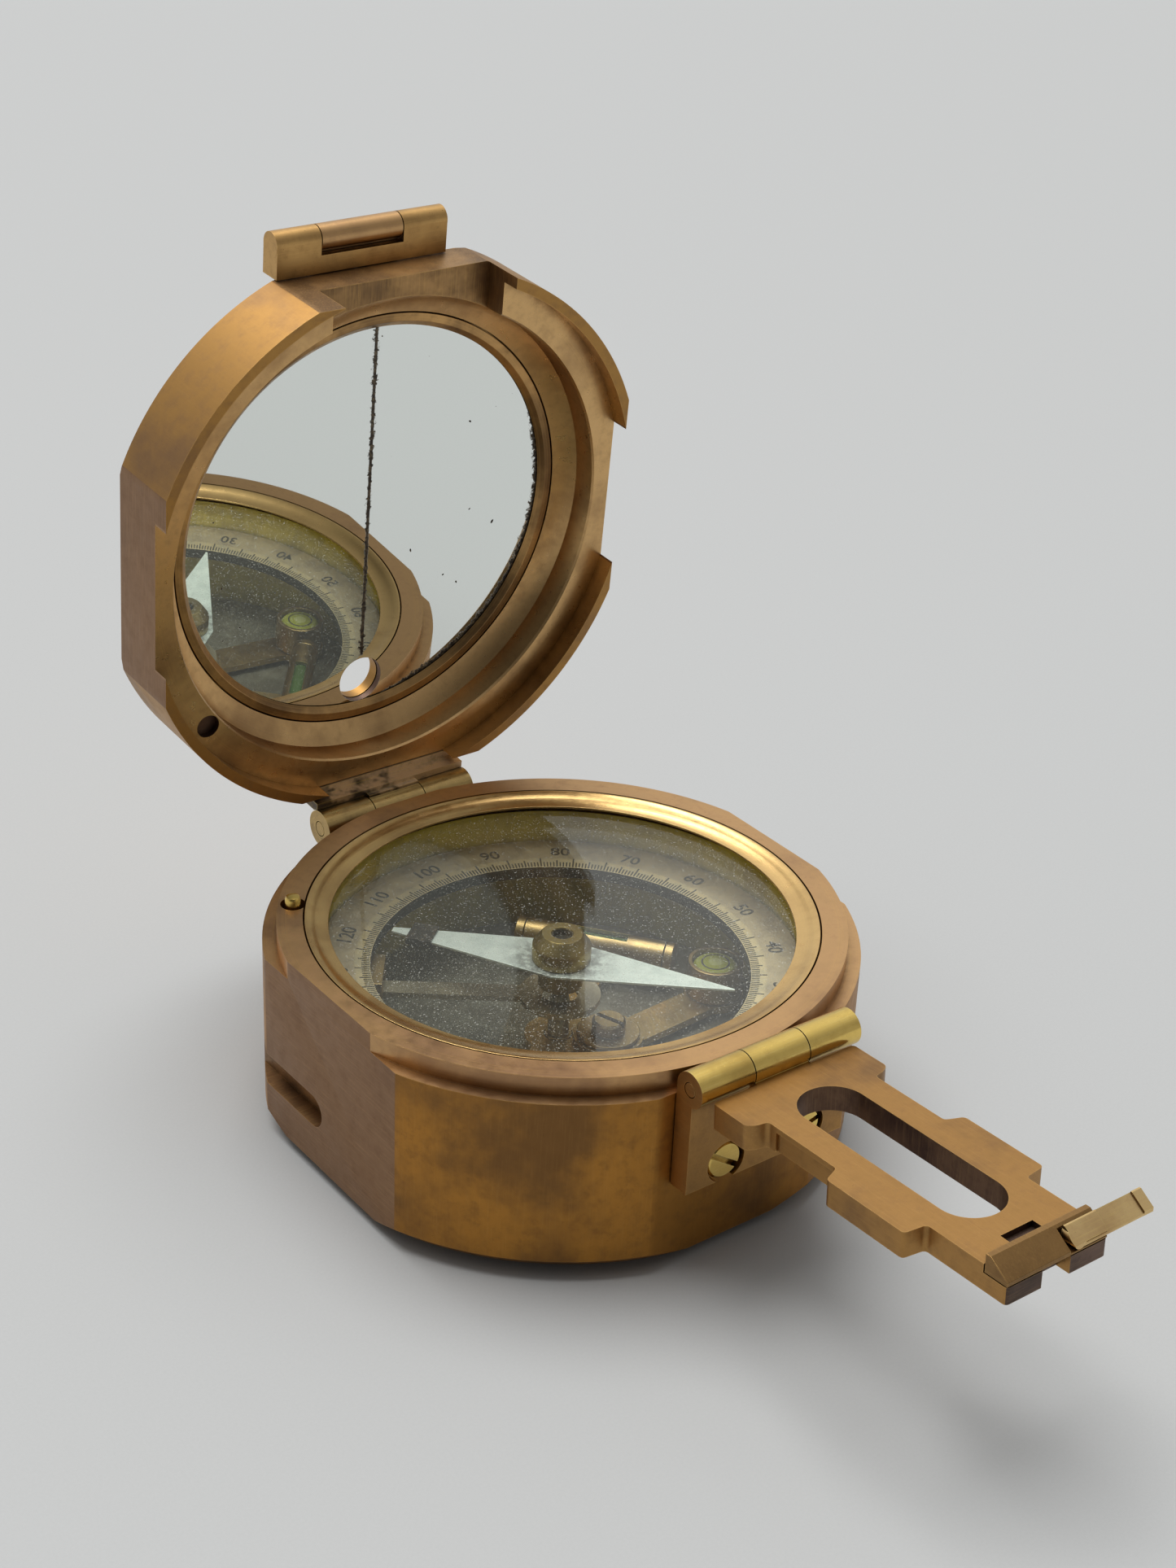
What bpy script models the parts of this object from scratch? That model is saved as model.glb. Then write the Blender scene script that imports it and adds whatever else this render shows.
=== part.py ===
"""A brass pocket transit (geology compass), open, as separate solids at rest.

The frame's origin is on the case's axis at the underside of the base plate. +Z is up, the lid's
hinge is toward +Y and the sighting arm reaches toward -Y. Lengths below are in millimetres.
"""

import math

import bpy
from mathutils import Matrix, Vector

MM = 0.001
GROUND = 3.0  # the height of the case's datum over the surface that it rests on

# Case: heights are over the datum, where the chamfer of the lower edge ends.
CASE_R = 38.0
CASE_BOTTOM = -1.5
CHAMFER = 1.5
STEP_Z = 22.73
REGISTER_R = 36.2
REGISTER_Z = 25.28
FLAT_X = 35.0
FLAT_Y = 35.9
BORE_R = 31.7
FLOOR_Z = 4.0
UNDERSIDE_Z = -0.15
UNDERSIDE_R = 33.0
SEAT_R = 32.9
SEAT_Z = 22.6
SHAFT_BORE_R = 3.0
SLOT_Z = 6.4
SLOT_HALF = 2.25
SLOT_DEPTH = 2.2
SLOT_END_Y = 3.9

# Lid, in its closed position
LID_R = 37.9
LID_FLAT = 35.07
LID_RIM_Z = 23.0
LID_SEAT_Z = 25.7
LID_TOP_Z = 34.7
LID_OPEN = math.radians(85.46)
HINGE_Y = 39.54
HINGE_Z = 22.44
HINGE_R = 2.6
HINGE_HALF = 11.8
HINGE_MIDDLE = 4.0
POCKET_X = (-10.7, 14.8)
POCKET_Z = 29.15
WINDOW_Y = 24.2
WINDOW_R = 3.2
MIRROR_Z = (32.1, 33.0)
MIRROR_R = 29.2
MIRROR_RING_R = 27.4

# Sighting arm, level, along -Y from its hinge's axis
ARM_X = 2.1
ARM_AXIS_Y = -38.35
ARM_AXIS_Z = 24.5
ARM_R = 2.3
ARM_DROP = 1.0
ARM_THICK = 3.3
ARM_RAISED = math.radians(3.31)
ARM_END = 46.3
BARREL_HALF = 12.2
BARREL_MIDDLE = 4.1
BRACKET_BOTTOM = 9.8
BRACKET_Y = (-38.85, -36.02)
BRACKET_SCREW_X = 6.2
BRACKET_SCREW_Z = 12.3

# Dial and works
LIFT_X = -27.42
LIFT_Y = 20.6
LEVER_Z = (12.6, 13.4)
FULCRUM_R = 24.0
FULCRUM_Z = 13.9
CLINO_ANGLE = math.radians(37.8)
TUBE_OFFSET = 18.1
TUBE_R = 2.1
TUBE_HALF = 11.0
TUBE_Z = 10.0
CARRIER_Z = (6.1, 7.1)
EYE_X = 23.4
EYE_Y = -3.4
CLAMP_X = 4.6
CLAMP_Y = -4.7
NEEDLE_ANGLE = math.radians(128.3)
NEEDLE_TIP = 22.8
NEEDLE_HALF = 4.6
NEEDLE_Z = (18.2, 18.55)
GAP = 0.12

COLOURS = {
    "brass": ((0.62, 0.40, 0.16), 1.0, 0.32),
    "bright_brass": ((0.86, 0.64, 0.22), 1.0, 0.2),
    "dark_brass": ((0.36, 0.24, 0.13), 1.0, 0.45),
    "steel": ((0.62, 0.68, 0.74), 1.0, 0.3),
    "dark": ((0.06, 0.05, 0.045), 0.0, 0.5),
    "glass": ((0.9, 0.95, 0.92), 0.0, 0.03),
    "vial": ((0.45, 0.75, 0.2), 0.0, 0.05),
    "mirror": ((0.9, 0.9, 0.9), 1.0, 0.02),
    "dial": ((0.45, 0.42, 0.36), 1.0, 0.4),
}


def clear_scene():
    for obj in list(bpy.data.objects):
        bpy.data.objects.remove(obj, do_unlink=True)


def new_object(name, points, faces):
    mesh = bpy.data.meshes.new(name)
    mesh.from_pydata([Vector(p) * MM for p in points], [], faces)
    obj = bpy.data.objects.new(name, mesh)
    bpy.context.scene.collection.objects.link(obj)
    return obj


def polar(radius, angle):
    return radius * math.cos(angle), radius * math.sin(angle)


def turned(name, profile, steps=64):
    """A body of revolution about Z. The profile's (radius, height) points run counterclockwise.

    A profile that starts and ends on the axis makes a body with a flat face at each end.
    """
    solid = profile[0][0] == 0
    rings = profile[1:-1] if solid else profile
    points = []
    for radius, height in rings:
        points += [(*polar(radius, 2 * math.pi * k / steps), height) for k in range(steps)]
    rows = [list(range(i * steps, (i + 1) * steps)) for i in range(len(rings))]
    pairs = list(zip(rows, rows[1:])) + ([] if solid else [(rows[-1], rows[0])])
    faces = [rows[0][::-1], rows[-1]] if solid else []
    for low, high in pairs:
        for k in range(steps):
            n = (k + 1) % steps
            faces.append([low[k], low[n], high[n], high[k]])
    return new_object(name, points, faces)


def disc(name, radius, low, high, steps=48):
    return turned(name, [(0, low), (radius, low), (radius, high), (0, high)], steps)


def washer(name, inner, outer, low, high, steps=64):
    return turned(name, [(inner, low), (outer, low), (outer, high), (inner, high)], steps)


def prism(name, outline, low, high):
    """A plate between two heights. The outline runs counterclockwise seen from above."""
    count = len(outline)
    points = [(x, y, low) for x, y in outline] + [(x, y, high) for x, y in outline]
    faces = [list(range(count))[::-1], list(range(count, 2 * count))]
    faces += [[k, (k + 1) % count, count + (k + 1) % count, count + k] for k in range(count)]
    return new_object(name, points, faces)


def box(name, x, y, z):
    return prism(name, [(x[0], y[0]), (x[1], y[0]), (x[1], y[1]), (x[0], y[1])], *z)


def rod(name, start, end, radius, steps=32):
    """A cylinder between two points."""
    a, b = Vector(start), Vector(end)
    obj = disc(name, radius, 0.0, (b - a).length, steps)
    turn = Vector((0, 0, 1)).rotation_difference(b - a).to_matrix().to_4x4()
    obj.data.transform(Matrix.Translation(a * MM) @ turn)
    return obj


def shift(obj, x=0.0, y=0.0, z=0.0, turn=0.0):
    """Turns the mesh about Z, then moves it."""
    obj.data.transform(Matrix.Translation(Vector((x, y, z)) * MM) @ Matrix.Rotation(turn, 4, "Z"))
    return obj


def combine(obj, others, operation):
    """Joins the others to obj or cuts them from it, and removes them."""
    for other in others:
        modifier = obj.modifiers.new(operation, "BOOLEAN")
        modifier.object = other
        modifier.operation = operation
        modifier.solver = "EXACT"
        bpy.context.view_layer.update()
        graph = bpy.context.evaluated_depsgraph_get()
        mesh = bpy.data.meshes.new_from_object(obj.evaluated_get(graph))
        obj.modifiers.clear()
        obj.data = mesh
        bpy.data.objects.remove(other, do_unlink=True)
    return obj


def cut(obj, *others):
    return combine(obj, others, "DIFFERENCE")


def join(obj, *others):
    return combine(obj, others, "UNION")


def finish(obj, colour):
    """Gives a node its name's mesh, shading and its own material."""
    base, metallic, roughness = COLOURS[colour]
    material = bpy.data.materials.new(obj.name)
    material.use_nodes = True
    shader = material.node_tree.nodes["Principled BSDF"]
    shader.inputs["Base Color"].default_value = (*base, 1.0)
    shader.inputs["Metallic"].default_value = metallic
    shader.inputs["Roughness"].default_value = roughness
    if colour in ("glass", "vial"):
        shader.inputs["Transmission Weight"].default_value = 1.0
    obj.data.materials.clear()
    obj.data.materials.append(material)
    obj.data.name = obj.name
    obj.data.shade_smooth()
    obj.data.set_sharp_from_angle(angle=math.radians(30))
    return obj


def settle(obj, pivot=(0.0, 0.0, 0.0), tilt=0.0):
    """Puts the object's origin on its pivot, tilts it about X there and lifts it off the ground."""
    obj.data.transform(Matrix.Translation(-Vector(pivot) * MM))
    obj.location = (Vector(pivot) + Vector((0, 0, GROUND))) * MM
    obj.rotation_euler = (tilt, 0.0, 0.0)
    return obj


def arc(x, y, radius, first, last, steps):
    """Points on a circle from one angle to another, in degrees."""
    turns = [math.radians(first + (last - first) * k / steps) for k in range(steps + 1)]
    return [(x + radius * math.cos(t), y + radius * math.sin(t)) for t in turns]


def slotted_screw(name, x, y, z, head_r, head_z, shank_r, shank_z):
    """A cheese head with a slot, standing on z, and its shank below."""
    profile = [(0, -shank_z), (shank_r, -shank_z), (shank_r, 0), (head_r, 0)]
    profile += [(head_r, head_z - 0.3), (head_r - 0.3, head_z), (0, head_z)]
    screw = turned(name, profile, 20)
    cutter = box("slot", (-head_r - 1, head_r + 1), (-0.35, 0.35), (head_z - 0.8, head_z + 1))
    cut(screw, shift(cutter, turn=math.radians(35)))
    return shift(screw, x, y, z)


def wall_screw(name, x, z, face_y, toward, head_r, head, shank_r, shank):
    """A slotted screw in an upright face. toward is the Y direction in which its head points."""
    screw = slotted_screw(name, 0, 0, 0, head_r, head, shank_r, shank)
    screw.data.transform(Matrix.Rotation(-toward * math.radians(90), 4, "X"))
    return shift(screw, x, face_y, z)


def make_case():
    profile = [(SHAFT_BORE_R, UNDERSIDE_Z), (UNDERSIDE_R, UNDERSIDE_Z), (UNDERSIDE_R, CASE_BOTTOM)]
    profile += [(CASE_R - CHAMFER, CASE_BOTTOM), (CASE_R, CASE_BOTTOM + CHAMFER)]
    profile += [(CASE_R, STEP_Z), (REGISTER_R, STEP_Z), (REGISTER_R, REGISTER_Z)]
    profile += [(SEAT_R, REGISTER_Z), (SEAT_R, SEAT_Z), (BORE_R, SEAT_Z), (BORE_R, FLOOR_Z)]
    profile += [(SHAFT_BORE_R, FLOOR_Z)]
    case = turned("case", profile)
    for side in (-1, 1):
        near, far = sorted((side * FLAT_X, side * 45)), (-45, 45)
        cut(case, box("flat", near, far, (-5, 30)))
        near = sorted((side * FLAT_Y, side * 45))
        cut(case, box("flat", far, near, (-5, 30)))
        depth = sorted((side * (FLAT_X - SLOT_DEPTH), side * 45))
        low, high = SLOT_Z - SLOT_HALF, SLOT_Z + SLOT_HALF
        end = rod("end", (depth[0], SLOT_END_Y, SLOT_Z), (depth[1], SLOT_END_Y, SLOT_Z), SLOT_HALF, 24)
        cut(case, end, box("slot", depth, (SLOT_END_Y, 30), (low + 0.01, high - 0.01)))
    cut(case, shift(disc("hole", 1.6, 12.0, 30.0, 24), LIFT_X, LIFT_Y))
    angle = math.atan2(LIFT_Y, LIFT_X)
    cut(case, shift(box("slot", (29.0, 35.9), (-2.0, 2.0), (11.4, 15.0)), turn=angle))
    for outer, inner, middle in ((-40, 3.1 - FLAT_Y, ARM_X), (40, FLAT_Y - 3.1, 0.0)):
        for x in (middle - BRACKET_SCREW_X, middle + BRACKET_SCREW_X):
            cut(case, rod("hole", (x, outer, BRACKET_SCREW_Z), (x, inner, BRACKET_SCREW_Z), 1.1, 20))
    return settle(finish(case, "brass"))


def make_base_plate():
    plate = disc("base_plate", 32.5, -3.0, -1.75, 64)
    outline = arc(0, 0, 25.5, 130, 306, 24) + arc(0, 0, 20.5, 306, 130, 24)
    cut(plate, prism("slot", outline, -4, 0))
    return settle(finish(plate, "dark_brass"))


def make_dial():
    bezel = [(29.7, 24.1), (32.7, 24.1), (32.7, 25.28), (32.3, 25.28), (29.7, 24.4)]
    settle(finish(turned("bezel_ring", bezel), "brass"))
    settle(finish(washer("gasket", 30.5, 32.6, 23.75, 24.05), "dark"))
    settle(finish(disc("crystal", 32.6, 22.72, 23.65, 64), "glass"))
    ring = [(24.4, 16.2), (31.45, 16.2), (31.45, 18.05), (26.5, 18.1), (24.4, 17.9)]
    settle(finish(turned("graduated_ring", ring), "dial"))
    settle(finish(washer("floor_plate", 3.4, 31.3, 4.12, 5.0), "dial"))


def make_clinometer():
    """The shaft through the floor, the lever under it and the carrier of the levels on top."""
    shaft = [(0, -1.55), (1.8, -1.55), (1.8, -0.25), (2.9, -0.25), (2.9, 6.0), (1.8, 6.0)]
    shaft += [(1.8, 7.3), (0, 7.3)]
    settle(finish(turned("clinometer_shaft", shaft, 32), "brass"))

    lever = washer("back_lever", 1.92, 5.0, -1.55, -0.35, 40)
    join(lever, shift(box("bar", (3.0, 23.0), (-2.2, 2.2), (-1.55, -0.35)), turn=CLINO_ANGLE + math.pi))
    knob = disc("knob", 2.2, -2.85, -0.35, 32)
    join(lever, shift(knob, *polar(23.0, CLINO_ANGLE + math.pi)))
    settle(finish(lever, "brass"))

    low, high = CARRIER_Z
    carrier = washer("clinometer_arm", 1.92, 4.4, low, high, 40)
    bars = [box("tube_bar", (3.5, 18.0), (-2.0, 2.0), (low, high))]
    bars.append(box("cross_bar", (16.6, 19.6), (-TUBE_HALF + 0.6, TUBE_HALF - 0.6), (low, high)))
    for side in (-1, 1):
        ends = sorted((side * 8.2, side * 10.2))
        bars.append(box("cradle", (16.8, 19.4), ends, (high - 0.4, TUBE_Z)))
    for bar in bars:
        join(carrier, shift(bar, turn=CLINO_ANGLE))
    vernier = arc(0, 0, 19.0, -15, 15, 12) + arc(0, 0, 14.8, 15, -15, 12)
    join(carrier, shift(prism("vernier", vernier, low, high), turn=CLINO_ANGLE + math.pi))
    join(carrier, shift(box("bar", (3.5, 16.0), (-2.4, 2.4), (low, high)), turn=CLINO_ANGLE + math.pi))
    join(carrier, shift(disc("boss", 4.6, low, high + 0.8, 32), CLAMP_X, CLAMP_Y))
    join(carrier, shift(disc("pad", 4.0, low, high, 32), EYE_X, EYE_Y))
    link = math.atan2(EYE_Y - CLAMP_Y, EYE_X - CLAMP_X)
    join(carrier, shift(box("link", (0, 19), (-3.0, 2.2), (low, high)), CLAMP_X, CLAMP_Y, turn=link))
    x, y = polar(TUBE_OFFSET, CLINO_ANGLE)
    dx, dy = polar(TUBE_HALF + 2, CLINO_ANGLE + math.pi / 2)
    cut(carrier, rod("seat", (x - dx, y - dy, TUBE_Z), (x + dx, y + dy, TUBE_Z), TUBE_R + 0.1))
    cut(carrier, shift(disc("thread", 1.0, low - 1, high + 2, 20), CLAMP_X, CLAMP_Y))
    settle(finish(carrier, "brass"))

    settle(finish(shift(washer("clamp_washer", 1.0, 4.1, 8.0, 8.5, 40), CLAMP_X, CLAMP_Y), "brass"))
    settle(finish(slotted_screw("clamp_screw", CLAMP_X, CLAMP_Y, 8.6, 2.2, 1.7, 0.85, 2.4), "brass"))


def make_levels():
    """A tubular level in a slotted brass tube, and a round level."""
    x, y = polar(TUBE_OFFSET, CLINO_ANGLE)

    def lay(obj):
        obj.data.transform(Matrix.Rotation(math.radians(90), 4, "X"))
        return shift(obj, x, y, TUBE_Z, CLINO_ANGLE)

    half = TUBE_HALF
    tube = washer("level_tube", 1.6, TUBE_R, -half + 1.3, half - 1.3, 32)
    cut(tube, box("window", (-0.9, 0.9), (0.5, 3.0), (-4.5, 4.5)))
    settle(finish(lay(tube), "brass"))
    settle(finish(lay(disc("level_vial", 1.45, -half + 1.6, half - 1.6, 24)), "vial"))
    for name, side in (("level_cap_a", -1), ("level_cap_b", 1)):
        ends = sorted((side * (half - 1.2), side * half))
        settle(finish(lay(disc(name, TUBE_R, *ends, 32)), "bright_brass"))

    cup = [(0, 7.2), (3.7, 7.2), (3.7, 12.0), (3.1, 12.0), (3.1, 8.2), (0, 8.2)]
    settle(finish(shift(turned("round_level_cup", cup, 40), EYE_X, EYE_Y), "brass"))
    settle(finish(shift(disc("round_level_vial", 2.95, 8.35, 11.8, 40), EYE_X, EYE_Y), "vial"))


def make_needle():
    pivot = [(0, 7.42), (1.4, 7.42), (1.4, 12.0), (0.2, 17.2), (0, 17.2)]
    settle(finish(turned("needle_pivot", pivot, 24), "steel"))

    blade_end = 0.5
    outline = [(NEEDLE_TIP, -blade_end), (NEEDLE_TIP, blade_end), (0, NEEDLE_HALF)]
    outline += [(-NEEDLE_TIP, blade_end), (-NEEDLE_TIP, -blade_end), (0, -NEEDLE_HALF)]
    blade = prism("needle_blade", outline, *NEEDLE_Z)
    cut(blade, disc("hole", 2.0, 17, 20, 32))
    settle(finish(shift(blade, turn=NEEDLE_ANGLE), "steel"))

    hub = [(0, 17.5), (1.5, 17.5), (1.9, 14.7), (2.9, 14.7), (2.9, 18.08), (1.8, 18.08)]
    hub += [(1.8, 18.67), (3.8, 18.67), (3.8, 20.5), (2.0, 22.4), (1.0, 22.4), (0.9, 21.5), (0, 21.5)]
    settle(finish(turned("needle_hub", hub, 32), "brass"))

    band = box("balance_wire", (17.0, 20.4), (-2.05, 2.05), (17.85, 18.9))
    cut(band, box("opening", (16.0, 21.4), (-1.72, 1.72), (18.1, 18.65)))
    settle(finish(shift(band, turn=NEEDLE_ANGLE), "dark"))


def make_lifter():
    """The pin that the closing lid presses, and the lever that it tips to lift the needle."""
    angle = math.atan2(LIFT_Y, LIFT_X)
    reach = math.hypot(LIFT_X, LIFT_Y)
    pin = turned("lift_pin", [(0, 13.55), (1.0, 13.55), (1.0, 26.2), (0.7, 26.5), (0, 26.5)], 24)
    settle(finish(shift(pin, LIFT_X, LIFT_Y), "bright_brass"))

    lever = washer("lifter_lever", 2.4, 5.3, *LEVER_Z, 40)
    join(lever, shift(box("bar", (4.8, reach + 1.0), (-1.4, 1.4), LEVER_Z), turn=angle))
    boss = box("boss", (FULCRUM_R - 1.1, FULCRUM_R + 1.1), (-1.3, 1.3), (LEVER_Z[0] + 0.2, 14.9))
    join(lever, shift(boss, turn=angle))
    x, y = polar(FULCRUM_R, angle)
    dx, dy = polar(1.0, angle + math.pi / 2)

    def axle(name, half, radius):
        ends = [(x + side * dx * half, y + side * dy * half, FULCRUM_Z) for side in (-1, 1)]
        return rod(name, *ends, radius, 20)

    cut(lever, axle("hole", 4.0, 0.6))
    settle(finish(lever, "brass"), (x, y, FULCRUM_Z))

    yoke = shift(box("lever_yoke", (FULCRUM_R - 1.3, 31.2), (-3.6, 3.6), (12.8, 16.0)), turn=angle)
    cut(yoke, shift(box("way", (FULCRUM_R - 3, 33.0), (-2.0, 2.0), (11.0, 15.2)), turn=angle))
    cut(yoke, axle("hole", 5.0, 0.6))
    settle(finish(yoke, "brass"))
    settle(finish(axle("lever_pin", 3.55, 0.5), "steel"))


def make_lid():
    """The lid and what turns with it, built closed and then tipped open."""
    pivot = (0.0, HINGE_Y, HINGE_Z)

    def open_up(obj, colour):
        return settle(finish(obj, colour), pivot, -LID_OPEN)

    profile = [(0, 33.1), (29.5, 33.1), (29.5, 31.2), (31.3, 30.4), (32.3, 29.4), (32.4, 26.0)]
    profile += [(32.6, LID_SEAT_Z), (36.5, LID_SEAT_Z), (36.5, LID_RIM_Z), (LID_R, LID_RIM_Z)]
    profile += [(LID_R, LID_TOP_Z - 0.5), (LID_R - 0.5, LID_TOP_Z), (0, LID_TOP_Z)]
    shell = turned("lid_shell", profile)
    for side in (-1, 1):
        near, far = sorted((side * LID_FLAT, side * 45)), (-45, 45)
        cut(shell, box("flat", near, far, (20, 40)))
        cut(shell, box("flat", far, near, (20, 40)))
    cut(shell, box("pocket", POCKET_X, (-40, -27.5), (20, POCKET_Z)))
    cut(shell, shift(disc("window", WINDOW_R, 20, 40, 40), y=WINDOW_Y))
    cut(shell, shift(disc("hole", 1.6, 24, 26.7, 24), LIFT_X, LIFT_Y))
    open_up(shell, "brass")

    mirror = disc("mirror", MIRROR_R, *MIRROR_Z, 64)
    cut(mirror, shift(disc("window", WINDOW_R + 0.1, 20, 40, 40), y=WINDOW_Y))
    open_up(mirror, "mirror")
    ring = [(MIRROR_RING_R, 31.95), (MIRROR_RING_R + 0.8, 31.2), (29.3, 31.2), (29.3, 31.95)]
    open_up(turned("mirror_ring", ring), "brass")

    leaf = box("lid_hinge_leaf", (-HINGE_HALF, HINGE_HALF), (LID_FLAT + GAP, 37.4), (23.3, 33.6))
    cut(leaf, box("register_room", (-15, 15), (30, FLAT_Y + 0.2), (20, REGISTER_Z + 0.2)))
    for side in (-1, 1):
        ends = [(x, HINGE_Y, HINGE_Z) for x in sorted((side * (HINGE_MIDDLE + 0.15), side * 20))]
        cut(leaf, rod("clearance", *ends, HINGE_R + 0.25, 28))
    join(leaf, box("web", (-HINGE_MIDDLE, HINGE_MIDDLE), (36.6, 40.0), (HINGE_Z, 24.9)))
    ends = [(x, HINGE_Y, HINGE_Z) for x in (-HINGE_MIDDLE - 0.001, HINGE_MIDDLE + 0.001)]
    join(leaf, rod("knuckle", *ends, HINGE_R, 28))
    cut(leaf, rod("hole", (-9, HINGE_Y, HINGE_Z), (9, HINGE_Y, HINGE_Z), 1.1, 24))
    open_up(leaf, "dark_brass")

    axis_y, axis_z, radius = -39.3, 35.35, 1.65
    low, high = -14.0, 11.0
    tall = (axis_z - radius, axis_z + radius)
    ears = box("lid_sight_ears", (low, high), (axis_y, -LID_FLAT - GAP), tall)
    join(ears, rod("round", (low - 0.02, axis_y, axis_z), (high + 0.02, axis_y, axis_z), radius, 28))
    cut(ears, box("gap", (-7.65, 4.45), (-45, axis_y + radius + 0.15), (20, 40)))
    cut(ears, box("rebate", (-7.65, 4.45), (-45, -30), (34.6, 40)))
    cut(ears, rod("hole", (low + 1, axis_y, axis_z), (high - 1, axis_y, axis_z), 0.8, 20))
    open_up(ears, "brass")
    ends = [(x, axis_y, axis_z) for x in (low + 1.1, high - 1.1)]
    open_up(rod("lid_sight_pin", *ends, 0.7, 20), "steel")

    leaf = rod("lid_sight_leaf", (-7.5, axis_y, axis_z), (4.3, axis_y, axis_z), radius, 28)
    join(leaf, box("leaf", (-7.48, 4.28), (axis_y, -26.5), (34.85, 35.9)))
    cut(leaf, box("slit", (-2.0, -1.2), (-36.0, -28.5), (30, 40)))
    cut(leaf, rod("hole", (-12, axis_y, axis_z), (6, axis_y, axis_z), 0.8, 20))
    leaf = finish(leaf, "bright_brass")
    turned_back = Matrix.Rotation(-LID_OPEN, 4, "X")
    centre = Vector((0, axis_y, axis_z))
    hinge = Vector(pivot)
    settle(leaf, centre, -LID_OPEN)
    leaf.location = (hinge + turned_back @ (centre - hinge) + Vector((0, 0, GROUND))) * MM


def make_lid_hinge():
    """The hinge's half that is screwed to the case, its pin and its screws."""
    inside = HINGE_HALF - 0.03
    bracket = box("lid_hinge_bracket", (-inside, inside), (FLAT_Y + GAP, 38.9), (9.8, HINGE_Z))
    start, stop = (-HINGE_HALF, HINGE_Y, HINGE_Z), (HINGE_HALF, HINGE_Y, HINGE_Z)
    join(bracket, rod("barrel", start, stop, HINGE_R, 28))
    wide = HINGE_MIDDLE + 0.15
    cut(bracket, box("gap", (-wide, wide), (36.35, 45), (HINGE_Z - HINGE_R - 0.3, 30)))
    cut(bracket, box("top", (-wide, wide), (30, 45), (HINGE_Z - 0.9, 30)))
    cut(bracket, rod("hole", (-20, HINGE_Y, HINGE_Z), (20, HINGE_Y, HINGE_Z), 1.1, 24))
    for x in (-BRACKET_SCREW_X, BRACKET_SCREW_X):
        cut(bracket, rod("hole", (x, 30, BRACKET_SCREW_Z), (x, 45, BRACKET_SCREW_Z), 1.1, 20))
        cut(bracket, rod("sink", (x, 37.3, BRACKET_SCREW_Z), (x, 45, BRACKET_SCREW_Z), 2.7, 20))
    settle(finish(bracket, "bright_brass"))
    settle(finish(rod("lid_hinge_pin", start, stop, 1.0, 24), "steel"))
    for name, x in (("hinge_screw_a", -BRACKET_SCREW_X), ("hinge_screw_b", BRACKET_SCREW_X)):
        screw = wall_screw(name, x, BRACKET_SCREW_Z, 37.4, 1, 2.4, 1.3, 0.95, 4.3)
        settle(finish(screw, "bright_brass"))


def make_arm_bracket():
    ends = (ARM_X - BARREL_HALF, ARM_X + BARREL_HALF)
    inside = (ends[0] + 0.03, ends[1] - 0.03)
    bracket = box("arm_bracket", inside, BRACKET_Y, (BRACKET_BOTTOM, ARM_AXIS_Z))
    start, stop = (ends[0], ARM_AXIS_Y, ARM_AXIS_Z), (ends[1], ARM_AXIS_Y, ARM_AXIS_Z)
    join(bracket, rod("barrel", start, stop, ARM_R, 28))
    wide = (ARM_X - BARREL_MIDDLE - 0.15, ARM_X + BARREL_MIDDLE + 0.15)
    cut(bracket, box("gap", wide, (-45, -30), (ARM_AXIS_Z - ARM_R - 0.3, 30)))
    cut(bracket, rod("hole", (-20, ARM_AXIS_Y, ARM_AXIS_Z), (20, ARM_AXIS_Y, ARM_AXIS_Z), 1.0, 24))
    for side in (-1, 1):
        x = ARM_X + side * BRACKET_SCREW_X
        cut(bracket, rod("hole", (x, -30, BRACKET_SCREW_Z), (x, -45, BRACKET_SCREW_Z), 1.1, 20))
        cut(bracket, rod("sink", (x, -37.3, BRACKET_SCREW_Z), (x, -45, BRACKET_SCREW_Z), 2.8, 20))
    settle(finish(bracket, "brass"))
    settle(finish(rod("arm_pin", start, stop, 0.9, 24), "steel"))
    for name, side in (("bracket_screw_a", -1), ("bracket_screw_b", 1)):
        x = ARM_X + side * BRACKET_SCREW_X
        screw = wall_screw(name, x, BRACKET_SCREW_Z, -37.4, -1, 2.5, 1.25, 0.95, 4.3)
        settle(finish(screw, "bright_brass"))


def arm_outline():
    """The arm seen from above, from its hinge toward -Y, as (across, along) points."""
    half = [(10.8, 2.5), (10.8, 8.3), (9.6, 9.0), (8.2, 9.2), (8.2, 20.6), (9.0, 21.0)]
    half += [(10.5, 21.6), (10.5, 33.9), (7.5, 34.3), (7.5, ARM_END)]
    left = [(ARM_X - x, ARM_AXIS_Y - along) for x, along in half]
    right = [(ARM_X + x, ARM_AXIS_Y - along) for x, along in half[::-1]]
    return left + right


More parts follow.
